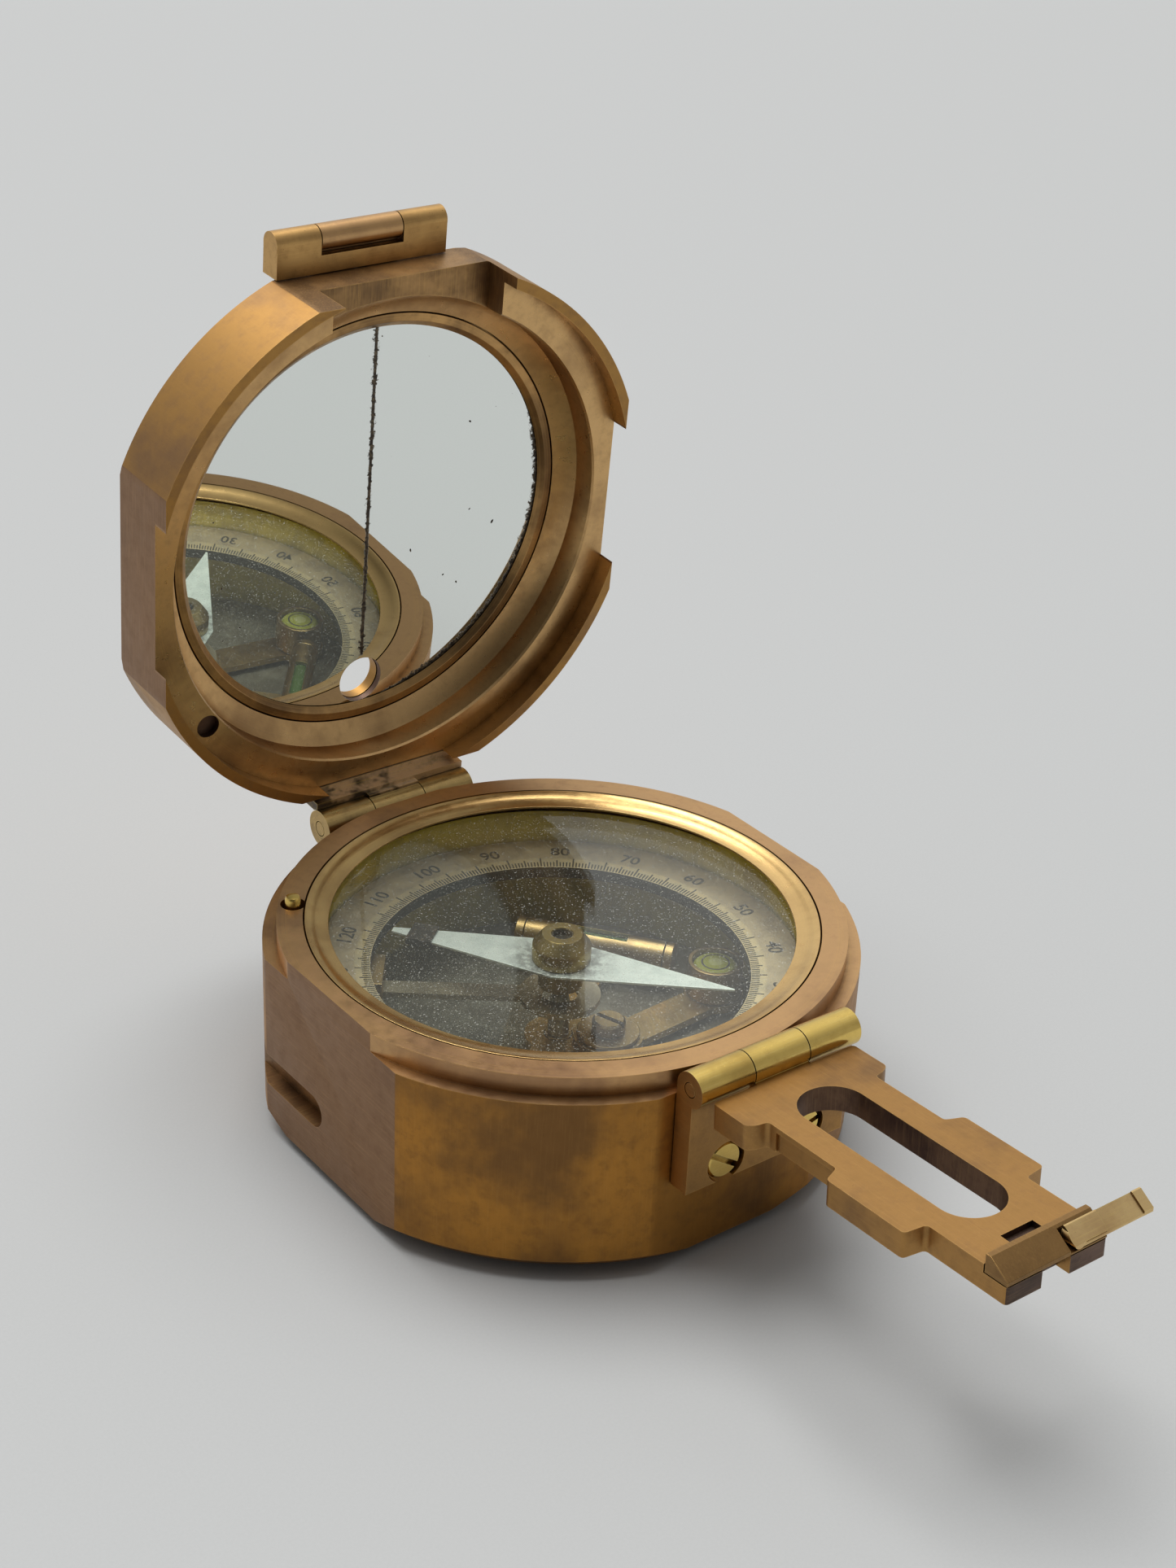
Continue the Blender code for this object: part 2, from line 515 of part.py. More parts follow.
def make_arm():
    """The sighting arm with its long slot and the forked end, level before it is raised."""
    pivot = (ARM_X, ARM_AXIS_Y, ARM_AXIS_Z)
    top = ARM_AXIS_Z - ARM_DROP
    low = top - ARM_THICK
    arm = prism("sight_arm", arm_outline(), low, top)
    y0, y1 = ARM_AXIS_Y - 32.9, ARM_AXIS_Y - 11.2
    slot = arc(ARM_X, y1, 4.3, 0, 180, 16) + arc(ARM_X, y0, 4.3, 180, 360, 16)
    cut(arm, prism("slot", slot, 10, 30))
    cut(arm, box("fork", (ARM_X - 2.3, ARM_X + 1.9), (-90, ARM_AXIS_Y - 44.4), (10, 30)))
    cut(arm, box("rebate", (-10, 20), (-90, ARM_AXIS_Y - 42.8), (top - 1.1, 30)))
    nick = (ARM_AXIS_Y - 42.4, ARM_AXIS_Y - 41.5)
    cut(arm, box("nick", (ARM_X - 2.6, ARM_X + 2.2), nick, (top - 0.8, 30)))
    for side in (-1, 1):
        face = sorted((ARM_X + side * 7.85, ARM_X + side * 8.5))
        cut(arm, box("relief", face, (ARM_AXIS_Y - 20.0, ARM_AXIS_Y - 10.6), (low - 1, top - 0.7)))
    middle = (ARM_X - BARREL_MIDDLE, ARM_X + BARREL_MIDDLE)
    join(arm, box("neck", middle, (ARM_AXIS_Y - 3.0, ARM_AXIS_Y), (ARM_AXIS_Z - ARM_R + 0.02, top - 0.02)))
    ends = [(x, ARM_AXIS_Y, ARM_AXIS_Z) for x in (middle[0] - 0.001, middle[1] + 0.001)]
    join(arm, rod("knuckle", ends[0], ends[1], ARM_R, 28))
    cut(arm, rod("hole", (-20, ARM_AXIS_Y, ARM_AXIS_Z), (20, ARM_AXIS_Y, ARM_AXIS_Z), 1.0, 24))
    settle(finish(arm, "brass"), pivot, -ARM_RAISED)
    make_peep(pivot, top)


def slope(end, top, lift):
    """A cutter for what is above the sloping face that the cross piece and the sight share."""
    low, high = end - 1.0, end + 5.0
    face = [(y, top - 0.45 + lift + 0.7 * (y - end)) for y in (low, high)]
    cutter = prism("slope", [*face, (low, top + 6.0)], ARM_X - 20, ARM_X + 20)
    cutter.data.transform(Matrix(((0, 0, 1, 0), (1, 0, 0, 0), (0, 1, 0, 0), (0, 0, 0, 1))))
    return cutter


def make_peep(pivot, top):
    """The cross piece on the arm's end and the small sight that swings up from it."""
    end = ARM_AXIS_Y - ARM_END
    mount = box("peep_mount", (ARM_X - 7.5, ARM_X + 7.4), (end, end + 3.35), (top - 0.98, top + 1.4))
    cut(mount, slope(end, top, 0.0))
    axle_x, axle_z = ARM_X + 3.2, top + 0.3
    room = box("room", (ARM_X + 1.9, ARM_X + 9), (end - 1, end + 2.3), (top - 0.72, top + 3))
    cut(mount, room)
    cut(mount, rod("hole", (axle_x, end + 1.1, axle_z), (axle_x, end + 3.0, axle_z), 0.45, 20))
    settle(finish(mount, "brass"), pivot, -ARM_RAISED)

    low, high = axle_x, axle_x + 11.2
    leaf = box("peep_leaf", (low, high), (end - 0.1, end + 2.1), (top - 0.5, top + 1.4))
    cut(leaf, slope(end, top, 0.3))
    lip = box("lip", (high - 1.4, high + 0.01), (end - 0.11, end + 2.11), (top - 0.51, top + 1.41))
    head = box("head", (low - 0.6, low + 4.2), (end - 0.09, end + 2.09), (top, top + 1.4))
    knuckle = rod("knuckle", (low, end - 0.12, axle_z), (low, end + 2.12, axle_z), 0.9, 24)
    for piece in (lip, head, knuckle):
        join(leaf, cut(piece, slope(end, top, 0.55)))
    cut(leaf, rod("hole", (axle_x, end + 1.1, axle_z), (axle_x, end + 3.4, axle_z), 0.45, 20))
    centre = Vector((axle_x, end, axle_z))
    hinge = Vector(pivot)
    raised = Matrix.Rotation(-ARM_RAISED, 4, "X")
    settle(finish(leaf, "bright_brass"), centre, -ARM_RAISED)
    leaf.location = (hinge + raised @ (centre - hinge) + Vector((0, 0, GROUND))) * MM
    pin = rod("peep_pin", (axle_x, end + 1.2, axle_z), (axle_x, end + 2.9, axle_z), 0.35, 16)
    settle(finish(pin, "steel"), pivot, -ARM_RAISED)


def gather():
    """Puts every object in a collection named for the whole."""
    home = bpy.data.collections.new("geology_compass")
    bpy.context.scene.collection.children.link(home)
    for obj in list(bpy.context.scene.collection.objects):
        bpy.context.scene.collection.objects.unlink(obj)
        home.objects.link(obj)


clear_scene()
make_case()
make_base_plate()
make_dial()
make_clinometer()
make_levels()
make_needle()
make_lifter()
make_lid()
make_lid_hinge()
make_arm_bracket()
make_arm()
gather()
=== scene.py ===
"""The looks of an open brass pocket transit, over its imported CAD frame.

Lengths are in millimetres over the case's datum, which is GROUND above the floor. The lid and what
turns with it is built in its closed position and then tipped open about its hinge.
"""

import math

import bpy
from mathutils import Matrix, Vector


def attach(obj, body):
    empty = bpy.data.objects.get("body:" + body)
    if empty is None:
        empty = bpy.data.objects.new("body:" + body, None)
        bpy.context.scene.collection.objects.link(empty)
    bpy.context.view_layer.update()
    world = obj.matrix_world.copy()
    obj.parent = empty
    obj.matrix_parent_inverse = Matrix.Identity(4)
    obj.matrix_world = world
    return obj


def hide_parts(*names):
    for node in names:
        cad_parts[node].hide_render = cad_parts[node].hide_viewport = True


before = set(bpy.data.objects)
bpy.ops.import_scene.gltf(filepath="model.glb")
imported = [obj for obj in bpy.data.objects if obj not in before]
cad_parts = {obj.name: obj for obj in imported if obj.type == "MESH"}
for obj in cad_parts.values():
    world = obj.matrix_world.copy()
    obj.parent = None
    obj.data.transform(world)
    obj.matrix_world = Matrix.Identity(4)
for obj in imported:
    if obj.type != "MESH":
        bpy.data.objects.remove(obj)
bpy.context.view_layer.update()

MM = 0.001
GROUND = 3.0
LID_OPEN = math.radians(85.46)
HINGE = Vector((0.0, 39.54, 22.44))
ARM_RAISED = math.radians(3.31)
ARM_PIVOT = Vector((2.1, -38.35, 24.5))
ARM_X, ARM_Y, ARM_Z = ARM_PIVOT
CLINO_ANGLE = math.radians(37.8)
NEEDLE_ANGLE = math.radians(128.3)
LIFT_X, LIFT_Y = -27.42, 20.6
LIFT_ANGLE = math.atan2(LIFT_Y, LIFT_X)
FULCRUM_R, FULCRUM_Z = 24.0, 13.9
FLAT_X, FLAT_Y = 35.0, 35.9
CLAMP = (4.6, -4.7)
LEVEL_R, LEVEL_Z = 18.1, 10.0
ROUND_LEVEL = (23.4, -3.4)
RING_INNER, RING_SHOULDER = (24.4, 17.9), (26.5, 18.08)
SCREW_X, SCREW_Z = 6.2, 12.3

# The share of light that a pane mirrors head on, and the sky's grey at the horizon.
HEAD_ON_SHINE = 0.04
HORIZON_AHEAD, HORIZON_ASIDE = 0.11, 0.50


# --- Materials -----------------------------------------------------------------------------------


class Graph:
    """The node tree of a material or of the world, with short calls that return sockets."""

    def __init__(self, owner):
        self.owner = owner
        owner.use_nodes = True
        self.tree = owner.node_tree
        self.tree.nodes.clear()

    def node(self, kind, inputs=None, **settings):
        made = self.tree.nodes.new(kind)
        for key, value in settings.items():
            setattr(made, key, value)
        for key, value in (inputs or {}).items():
            socket = made.inputs[key]
            if isinstance(value, bpy.types.NodeSocket):
                self.tree.links.new(value, socket)
            else:
                socket.default_value = value
        return made

    def math(self, operation, a, b=0.0, c=0.0):
        return self.node("ShaderNodeMath", {0: a, 1: b, 2: c}, operation=operation).outputs[0]

    def point(self, offset=(0, 0, 0), scale=(1, 1, 1)):
        """The place on the piece in millimetres, moved and then stretched."""
        where = self.node("ShaderNodeTexCoord").outputs["Object"]
        grown = self.node("ShaderNodeVectorMath", {0: where, 3: 1 / MM}, operation="SCALE").outputs[0]
        moved = self.node("ShaderNodeVectorMath", {0: grown, 1: offset}, operation="ADD").outputs[0]
        return self.node("ShaderNodeVectorMath", {0: moved, 1: scale}, operation="MULTIPLY").outputs[0]

    def axes(self, vector):
        return self.node("ShaderNodeSeparateXYZ", {0: vector}).outputs

    def radius(self, vector):
        """How far a place is from the Z axis."""
        x, y = self.axes(vector)[:2]
        squares = self.math("ADD", self.math("MULTIPLY", x, x), self.math("MULTIPLY", y, y))
        return self.math("POWER", squares, 0.5)

    def dot(self, a, b):
        return self.node("ShaderNodeVectorMath", {0: a, 1: b}, operation="DOT_PRODUCT").outputs["Value"]

    def noise(self, vector, scale, detail=3.0, rough=0.55):
        inputs = {"Vector": vector, "Scale": scale, "Detail": detail, "Roughness": rough}
        return self.node("ShaderNodeTexNoise", inputs).outputs["Fac"]

    def ramp(self, value, low, high):
        """0 below low and 1 above high, smoothly; the other way round if low is over high."""
        a, b = (0.0, 1.0) if low < high else (1.0, 0.0)
        inputs = {"Value": value, "From Min": min(low, high), "From Max": max(low, high)}
        inputs |= {"To Min": a, "To Max": b}
        made = self.node("ShaderNodeMapRange", inputs, interpolation_type="SMOOTHSTEP")
        return made.outputs["Result"]

    def mix(self, share, a, b):
        made = self.node("ShaderNodeMix", data_type="RGBA")
        for index, value in ((0, share), (6, a), (7, b)):
            if isinstance(value, bpy.types.NodeSocket):
                self.tree.links.new(value, made.inputs[index])
            else:
                made.inputs[index].default_value = value if index == 0 else (*value, 1.0)
        return made.outputs[2]

    def edges(self, radius):
        """1 on the piece's convex and concave edges, from how far a rounded edge's normal turns."""
        rounded = self.node("ShaderNodeBevel", {"Radius": radius * MM}, samples=4).outputs[0]
        plain = self.node("ShaderNodeNewGeometry").outputs["Normal"]
        return self.ramp(self.math("SUBTRACT", 1.0, self.dot(rounded, plain)), 0.02, 0.25)

    def hollows(self, distance):
        """1 deep in corners and recesses."""
        inputs = {"Distance": distance * MM}
        made = self.node("ShaderNodeAmbientOcclusion", inputs, samples=4, only_local=False)
        return self.ramp(made.outputs["AO"], 0.95, 0.35)

    def bump(self, height, strength):
        inputs = {"Height": height, "Strength": strength, "Distance": 0.02 * MM}
        return self.node("ShaderNodeBump", inputs).outputs[0]

    def principled(self, **inputs):
        """The finished material: a Principled shader with these inputs."""
        named = {key.replace("_", " ").title(): value for key, value in inputs.items()}
        return self.finish(self.node("ShaderNodeBsdfPrincipled", named).outputs[0])

    def finish(self, shader):
        self.node("ShaderNodeOutputMaterial", {"Surface": shader})
        return self.owner


def new_material(name):
    return Graph(bpy.data.materials.new(name))


def streaks(g, lines, centre):
    """Fine machining lines: rings round the axis through centre, or straight along X, Y or Z."""
    if lines == "lathe":
        here = g.point(offset=centre)
        across = g.node("ShaderNodeCombineXYZ", {0: g.radius(here), 2: g.axes(here)[2]}).outputs[0]
        return g.noise(across, 5.0, 4.0, 0.6)
    scale = {"x": (0.05, 1, 1), "y": (1, 0.05, 1), "z": (1, 1, 0.05)}[lines]
    return g.noise(g.point(scale=scale), 4.5, 4.0, 0.6)


def metal(name, base, stain, bright, rough, lines="lathe", centre=(0, 0, 0), wear=0.55,
          stained=(0.45, 0.7), grime_and_shade=0.6, pits=0.5, line_depth=0.35, grain=0.3, seed=0.0):
    """Aged brass: a base tone, darker stains, soiling and painted shade in the corners, worn edges with a
    painted highlight and fine pits.
    """
    g = new_material(name)
    here = g.point(offset=(seed * 17.3, seed * 5.1, seed * 9.7))
    broad = g.noise(here, 0.055, 5.0, 0.62)
    mottle = g.noise(here, 0.55, 6.0, 0.65)
    fine = g.noise(here, 5.5, 3.0, 0.6)
    marks = streaks(g, lines, centre)
    deep = tuple(0.45 * c for c in stain)
    colour = g.mix(g.ramp(broad, *stained), base, stain)
    colour = g.mix(g.math("MULTIPLY", g.ramp(mottle, 0.45, 0.75), 0.45), colour, stain)
    colour = g.mix(g.math("MULTIPLY", g.ramp(marks, 0.45, 0.8), grain), colour, bright)
    # Edges lightened toward the bright tone: worn brass, with a painted highlight on top.
    rubbed_and_lit_edges = g.math("MULTIPLY", g.edges(0.28), g.math("MULTIPLY", g.ramp(mottle, 0.3, 0.6), wear))
    colour = g.mix(rubbed_and_lit_edges, colour, bright)
    # Darker deep in corners and recesses, found by ambient occlusion: partly soiling, partly painted shade.
    if grime_and_shade:
        hollow_darkening = g.math("MULTIPLY", g.hollows(1.6), g.math("MULTIPLY", g.ramp(mottle, 0.15, 0.65), grime_and_shade))
        colour = g.mix(hollow_darkening, colour, deep)
    pit = g.math("MULTIPLY", g.ramp(fine, 0.66, 0.74), pits)
    colour = g.mix(pit, colour, deep)
    roughness = g.math("MULTIPLY_ADD", mottle, 0.28, rough - 0.13)
    roughness = g.math("SUBTRACT", roughness, g.math("MULTIPLY", rubbed_and_lit_edges, 0.1))
    height = g.math("MULTIPLY_ADD", marks, line_depth, g.math("MULTIPLY", fine, 0.35))
    height = g.math("SUBTRACT", height, pit)
    normal = g.bump(height, 0.5)
    return g.principled(base_color=colour, metallic=1.0, roughness=roughness, normal=normal)


def dark_metal(name, base, spot, rough=0.4, metallic=0.9):
    """A plain or blackened metal with worn spots."""
    g = new_material(name)
    here = g.point()
    wear = g.ramp(g.noise(here, 1.4, 5.0, 0.6), 0.5, 0.72)
    colour = g.mix(wear, base, spot)
    grain = g.noise(here, 9.0, 2.0)
    roughness = g.math("MULTIPLY_ADD", grain, 0.3, rough - 0.15)
    normal = g.bump(grain, 0.3)
    return g.principled(base_color=colour, metallic=metallic, roughness=roughness, normal=normal)


def needle_steel():
    """Pale steel, dulled and finely pitted, its blue-white tone partly a painted reflection of the pale sky,
    with a dark smudge round the hub.
    """
    g = new_material("needle_steel")
    here = g.point()
    cloud = g.noise(here, 0.5, 6.0, 0.7)
    pit = g.ramp(g.noise(here, 5.0, 3.0, 0.7), 0.62, 0.72)
    # Blue-white tone: partly the steel, partly a painted reflection of the pale sky.
    colour = g.mix(g.ramp(cloud, 0.35, 0.7), (0.90, 0.98, 1.0), (0.70, 0.78, 0.80))
    colour = g.mix(g.math("MULTIPLY", pit, 0.7), colour, (0.10, 0.10, 0.11))
    patches = g.noise(here, 0.75, 5.0, 0.7)
    smudge = g.math("MULTIPLY", g.ramp(g.radius(here), 8.5, 4.2), g.ramp(patches, 0.34, 0.62))
    colour = g.mix(g.math("MULTIPLY", smudge, 0.75), colour, (0.15, 0.15, 0.17))
    roughness = g.math("MULTIPLY_ADD", cloud, 0.3, 0.22)
    normal = g.bump(cloud, 0.2)
    return g.principled(base_color=colour, metallic=0.2, roughness=roughness, normal=normal)


def dial_metal():
    """The silvered ring, worn to brass near its graduated inner edge."""
    g = new_material("dial_metal")
    here = g.point()
    cloud = g.noise(here, 0.35, 6.0, 0.65)
    fine = g.noise(here, 4.0, 3.0, 0.6)
    band = g.mix(g.ramp(cloud, 0.38, 0.68), (0.60, 0.49, 0.34), (0.42, 0.34, 0.25))
    tick_band = g.mix(g.ramp(cloud, 0.4, 0.7), (0.74, 0.60, 0.38), (0.55, 0.47, 0.33))
    share = g.ramp(g.math("MULTIPLY_ADD", fine, 0.5, g.radius(here)), 26.9, 26.4)
    colour = g.mix(share, band, tick_band)
    colour = g.mix(g.math("MULTIPLY", g.ramp(fine, 0.62, 0.74), 0.6), colour, (0.11, 0.09, 0.06))
    roughness = g.math("MULTIPLY_ADD", cloud, 0.25, 0.32)
    normal = g.bump(fine, 0.35)
    return g.principled(base_color=colour, metallic=0.55, roughness=roughness, normal=normal)


def floor_metal():
    """The dark plate at the bottom of the case, streaked and spotted."""
    g = new_material("floor_metal")
    here = g.point()
    cloud = g.noise(here, 0.16, 6.0, 0.7)
    fine = g.noise(here, 3.0, 4.0, 0.6)
    colour = g.mix(g.ramp(cloud, 0.35, 0.65), (0.30, 0.285, 0.24), (0.17, 0.15, 0.12))
    colour = g.mix(g.math("MULTIPLY", g.ramp(fine, 0.6, 0.75), 0.5), colour, (0.34, 0.31, 0.26))
    roughness = g.math("MULTIPLY_ADD", fine, 0.3, 0.4)
    normal = g.bump(fine, 0.4)
    return g.principled(base_color=colour, metallic=0.6, roughness=roughness, normal=normal)


def olive_wall():
    """The inside of the case above the ring: yellow-green brightened as painted light and reflection, with
    vertical streaks of painted reflection.
    """
    g = new_material("olive_wall")
    here = g.point()
    cloud = g.noise(here, 0.09, 5.0, 0.65)
    reflection_streaks = g.noise(g.point(scale=(1.0, 1.0, 0.25)), 0.9, 5.0, 0.7)
    # The bright yellow-green and its paler vertical streaks are painted light and painted reflection.
    colour = g.mix(g.ramp(cloud, 0.36, 0.62), (0.78, 0.63, 0.09), (0.54, 0.42, 0.09))
    colour = g.mix(g.math("MULTIPLY", g.ramp(reflection_streaks, 0.5, 0.72), 0.5), colour, (0.88, 0.72, 0.14))
    return g.principled(base_color=colour, metallic=0.35, roughness=0.38, normal=g.bump(reflection_streaks, 0.3))


def clear_glass(name, tint, haze, milk=(0.72, 0.72, 0.66), dusty=False):
    """Thin glass: light goes straight through it or mirrors at low angles, but for a share of haze."""
    g = new_material(name)
    through = g.node("ShaderNodeBsdfTransparent", {"Color": (*tint, 1.0)}).outputs[0]
    mirrored = g.node("ShaderNodeBsdfGlossy", {"Color": (1, 1, 1, 1), "Roughness": 0.03}).outputs[0]
    milky = g.node("ShaderNodeBsdfDiffuse", {"Color": (*milk, 1.0)}).outputs[0]
    facing = g.node("ShaderNodeLayerWeight", {"Blend": 0.5}).outputs["Facing"]
    amount = g.math("MULTIPLY_ADD", g.math("POWER", facing, 5.0), 1.0 - HEAD_ON_SHINE, HEAD_ON_SHINE)
    pane = g.node("ShaderNodeMixShader", {0: amount, 1: through, 2: mirrored}).outputs[0]
    share = haze
    if dusty:
        specks = g.ramp(g.noise(g.point(), 4.2, 2.0, 0.5), 0.655, 0.71)
        share = g.math("MULTIPLY_ADD", specks, 0.5, haze)
    return g.finish(g.node("ShaderNodeMixShader", {0: share, 1: pane, 2: milky}).outputs[0])


def mirror_glass():
    """Silvered glass with a black sighting line, a few lost specks and a dark worn rim."""
    g = new_material("mirror_glass")
    here = g.point(offset=CLOSED)
    x, y = g.axes(here)[:2]
    ragged = g.noise(here, 1.6, 5.0, 0.75)
    swing = g.math("MULTIPLY", g.noise(here, 0.05, 2.0), 1.6)
    width = g.math("MULTIPLY", g.ramp(ragged, 0.45, 0.8), swing)
    line = g.ramp(g.math("SUBTRACT", g.math("ABSOLUTE", x), width), 0.28, 0.16)
    line = g.math("MULTIPLY", line, g.ramp(y, 20.6, 20.2))
    side = g.ramp(g.math("MULTIPLY_ADD", y, 0.55, x), 6.0, 24.0)
    worn_by = g.math("MULTIPLY", side, g.math("MULTIPLY_ADD", ragged, 2.6, 1.6))
    reach = g.math("SUBTRACT", 29.6, worn_by)
    rim = g.ramp(g.math("SUBTRACT", g.radius(here), reach), 0.0, 0.35)
    specks = g.ramp(g.noise(here, 0.75, 1.0, 0.3), 0.792, 0.80)
    worn = g.math("MAXIMUM", g.math("MAXIMUM", line, rim), specks)
    blotches = g.ramp(g.noise(here, 2.2, 4.0), 0.4, 0.7)
    dark = g.mix(blotches, (0.035, 0.025, 0.018), (0.16, 0.12, 0.07))
    colour = g.mix(worn, (0.90, 0.935, 0.905), dark)
    roughness = g.math("MULTIPLY_ADD", worn, 0.45, 0.012)
    metallic = g.math("MULTIPLY_ADD", worn, -0.6, 1.0)
    return g.principled(base_color=colour, metallic=metallic, roughness=roughness)


def soft_black():
    """The black of the seal, the degree marks and other small dark places, and painted shade on the number
    ring's inner wall.
    """
    g = new_material("soft_black")
    grain = g.noise(g.point(), 6.0, 3.0)
    colour = g.mix(grain, (0.018, 0.016, 0.014), (0.05, 0.042, 0.035))
    return g.principled(base_color=colour, roughness=0.65, normal=g.bump(grain, 0.3))


def pale_floor():
    """A plain matt floor with a faint grain."""
    g = new_material("pale_floor")
    grain = g.noise(g.point(), 2.6, 2.0, 0.6)
    colour = g.mix(grain, (0.44, 0.445, 0.44), (0.475, 0.48, 0.475))
    return g.principled(base_color=colour, roughness=0.7, normal=g.bump(grain, 0.15))


GOLD = (0.74, 0.45, 0.155)
ORANGE = (0.44, 0.205, 0.042)
BROWN = (0.21, 0.105, 0.036)
PURPLE = (0.28, 0.16, 0.085)
YELLOW = (0.90, 0.68, 0.24)
# A lid piece has its origin on the hinge, and this offset brings it back to the closed lid's axis.
CLOSED = tuple(HINGE)

case_metal = metal("case_brass", ORANGE, BROWN, GOLD, 0.44, "z", stained=(0.4, 0.68), grain=0.06,
                   line_depth=0.12)
flat_metal = metal("flat_brass", PURPLE, (0.22, 0.12, 0.065), (0.5, 0.3, 0.15), 0.45, "y", seed=2)
register_metal = metal("register_brass", (0.58, 0.35, 0.16), (0.36, 0.21, 0.11), GOLD, 0.34, seed=1)
bezel_metal = metal("bezel_brass", (0.80, 0.53, 0.22), (0.52, 0.32, 0.13), YELLOW, 0.22,
                    line_depth=0.8, grime_and_shade=0.5, wear=0.1)
slot_metal = metal("slot_brass", (0.38, 0.22, 0.10), (0.18, 0.10, 0.05), GOLD, 0.5, "x", grime_and_shade=0.9)
lid_metal = metal("lid_brass", (0.42, 0.23, 0.07), (0.27, 0.155, 0.075), GOLD, 0.44, "z", CLOSED,
                  grain=0.06, line_depth=0.12, seed=3)
lid_flat_metal = metal("lid_flat_brass", PURPLE, (0.23, 0.13, 0.07), (0.5, 0.3, 0.15), 0.45, "y", seed=4)
lid_inner_metal = metal("lid_inner_brass", (0.68, 0.43, 0.19), (0.40, 0.24, 0.11), GOLD, 0.30,
                        centre=CLOSED, line_depth=0.7, seed=5)
milled_metal = metal("milled_brass", (0.52, 0.31, 0.13), (0.20, 0.12, 0.06), GOLD, 0.45, "y",
                     stained=(0.35, 0.6), line_depth=1.4, seed=6)
ring_metal = metal("mirror_ring_brass", (0.56, 0.33, 0.13), (0.22, 0.13, 0.06), GOLD, 0.34,
                   centre=CLOSED, stained=(0.4, 0.62), seed=7)
arm_metal = metal("arm_brass", (0.41, 0.222, 0.072), (0.25, 0.138, 0.058), GOLD, 0.40, "y",
                  grain=0.12, seed=8)
# A darker copy of the arm's brass, for painted shade on the sight's cross piece.
shaded_mount_metal = metal("shaded_mount_brass", (0.28, 0.16, 0.06), (0.17, 0.095, 0.04), GOLD, 0.42, "y",
                    grain=0.12, seed=18)
# A darker copy of the arm's brass, for painted shade on the walls of the arm's slot.
shaded_arm_wall_metal = metal("shaded_arm_wall_brass", (0.18, 0.105, 0.065), (0.07, 0.04, 0.032), (0.35, 0.22, 0.11),
                       0.5, "z", line_depth=1.0, seed=9)
polished = metal("polished_brass", (0.86, 0.61, 0.17), (0.62, 0.41, 0.11), (0.97, 0.78, 0.32), 0.20,
                 "x", grime_and_shade=0.75, line_depth=0.9, pits=0.7, seed=10)
hinge_metal = metal("hinge_brass", (0.46, 0.31, 0.12), (0.17, 0.11, 0.06), YELLOW, 0.30, "x",
                    grime_and_shade=0.8, pits=0.9, seed=20)
works_metal = metal("works_brass", (0.60, 0.42, 0.20), (0.34, 0.24, 0.13), YELLOW, 0.36, grime_and_shade=0.5, seed=11)
lever_metal = metal("lever_brass", (0.62, 0.55, 0.43), (0.40, 0.34, 0.26), (0.7, 0.6, 0.42), 0.38, "x",
                    grime_and_shade=0.2, seed=16)
hub_metal = metal("hub_brass", (0.46, 0.35, 0.15), (0.26, 0.19, 0.09), (0.75, 0.58, 0.28), 0.42,
                  grime_and_shade=0.4, line_depth=0.8, seed=12)
worn_leaf = metal("worn_leaf_brass", (0.72, 0.55, 0.37), (0.12, 0.095, 0.075), YELLOW, 0.5, "x",
                  stained=(0.56, 0.61), grime_and_shade=0.0, pits=0.9, seed=13)
ears_metal = metal("ears_brass", (0.58, 0.35, 0.13), (0.32, 0.18, 0.07), GOLD, 0.36, "x", pits=0.9, seed=17)
peep_metal = metal("peep_brass", (0.74, 0.52, 0.24), (0.50, 0.31, 0.14), YELLOW, 0.30, "x", seed=14)
# A dark brass: painted shade on the arm's end face, its nick and the lid's pin hole; also the mirror's edge.
tip_dark = metal("tip_dark_brass", (0.16, 0.10, 0.075), (0.07, 0.05, 0.04), (0.34, 0.22, 0.12), 0.45,
                 "x", seed=15)
steel = dark_metal("pin_steel", (0.50, 0.50, 0.50), (0.30, 0.27, 0.23))
blackened = dark_metal("blackened_wire", (0.03, 0.022, 0.018), (0.10, 0.065, 0.04), 0.65, 0.1)
number_fill = dark_metal("number_fill", (0.03, 0.025, 0.02), (0.10, 0.08, 0.06), 0.6, 0.0)
pale_steel = needle_steel()
dial = dial_metal()
floor_plate_metal = floor_metal()
olive = olive_wall()
crystal_glass = clear_glass("crystal_glass", (0.97, 0.98, 0.94), 0.018, dusty=True)
vial_glass = clear_glass("vial_glass", (0.55, 0.78, 0.42), 0.25, (0.30, 0.52, 0.16))
round_glass = clear_glass("round_vial_glass", (0.66, 0.70, 0.20), 0.5, (0.58, 0.60, 0.10))
bubble_glass = clear_glass("bubble_glass", (0.80, 0.84, 0.45), 0.5, (0.78, 0.80, 0.34))
silvered = mirror_glass()
black = soft_black()


# --- Shapes --------------------------------------------------------------------------------------


def new_object(name, points, faces):
    mesh = bpy.data.meshes.new(name)
    mesh.from_pydata([Vector(p) * MM for p in points], [], faces)
    obj = bpy.data.objects.new(name, mesh)
    bpy.context.scene.collection.objects.link(obj)
    return obj


def polar(radius, angle):
    return radius * math.cos(angle), radius * math.sin(angle)


def turned(name, profile, steps=240):
    """A body of revolution about Z. The profile's (radius, height) points run counterclockwise."""
    solid = profile[0][0] == 0
    rings = profile[1:-1] if solid else profile
    points = []
    for radius, height in rings:
        points += [(*polar(radius, 2 * math.pi * k / steps), height) for k in range(steps)]
    rows = [list(range(i * steps, (i + 1) * steps)) for i in range(len(rings))]
    pairs = list(zip(rows, rows[1:])) + ([] if solid else [(rows[-1], rows[0])])
    faces = [rows[0][::-1], rows[-1]] if solid else []
    for low, high in pairs:
        for k in range(steps):
            n = (k + 1) % steps
            faces.append([low[k], low[n], high[n], high[k]])
    return new_object(name, points, faces)


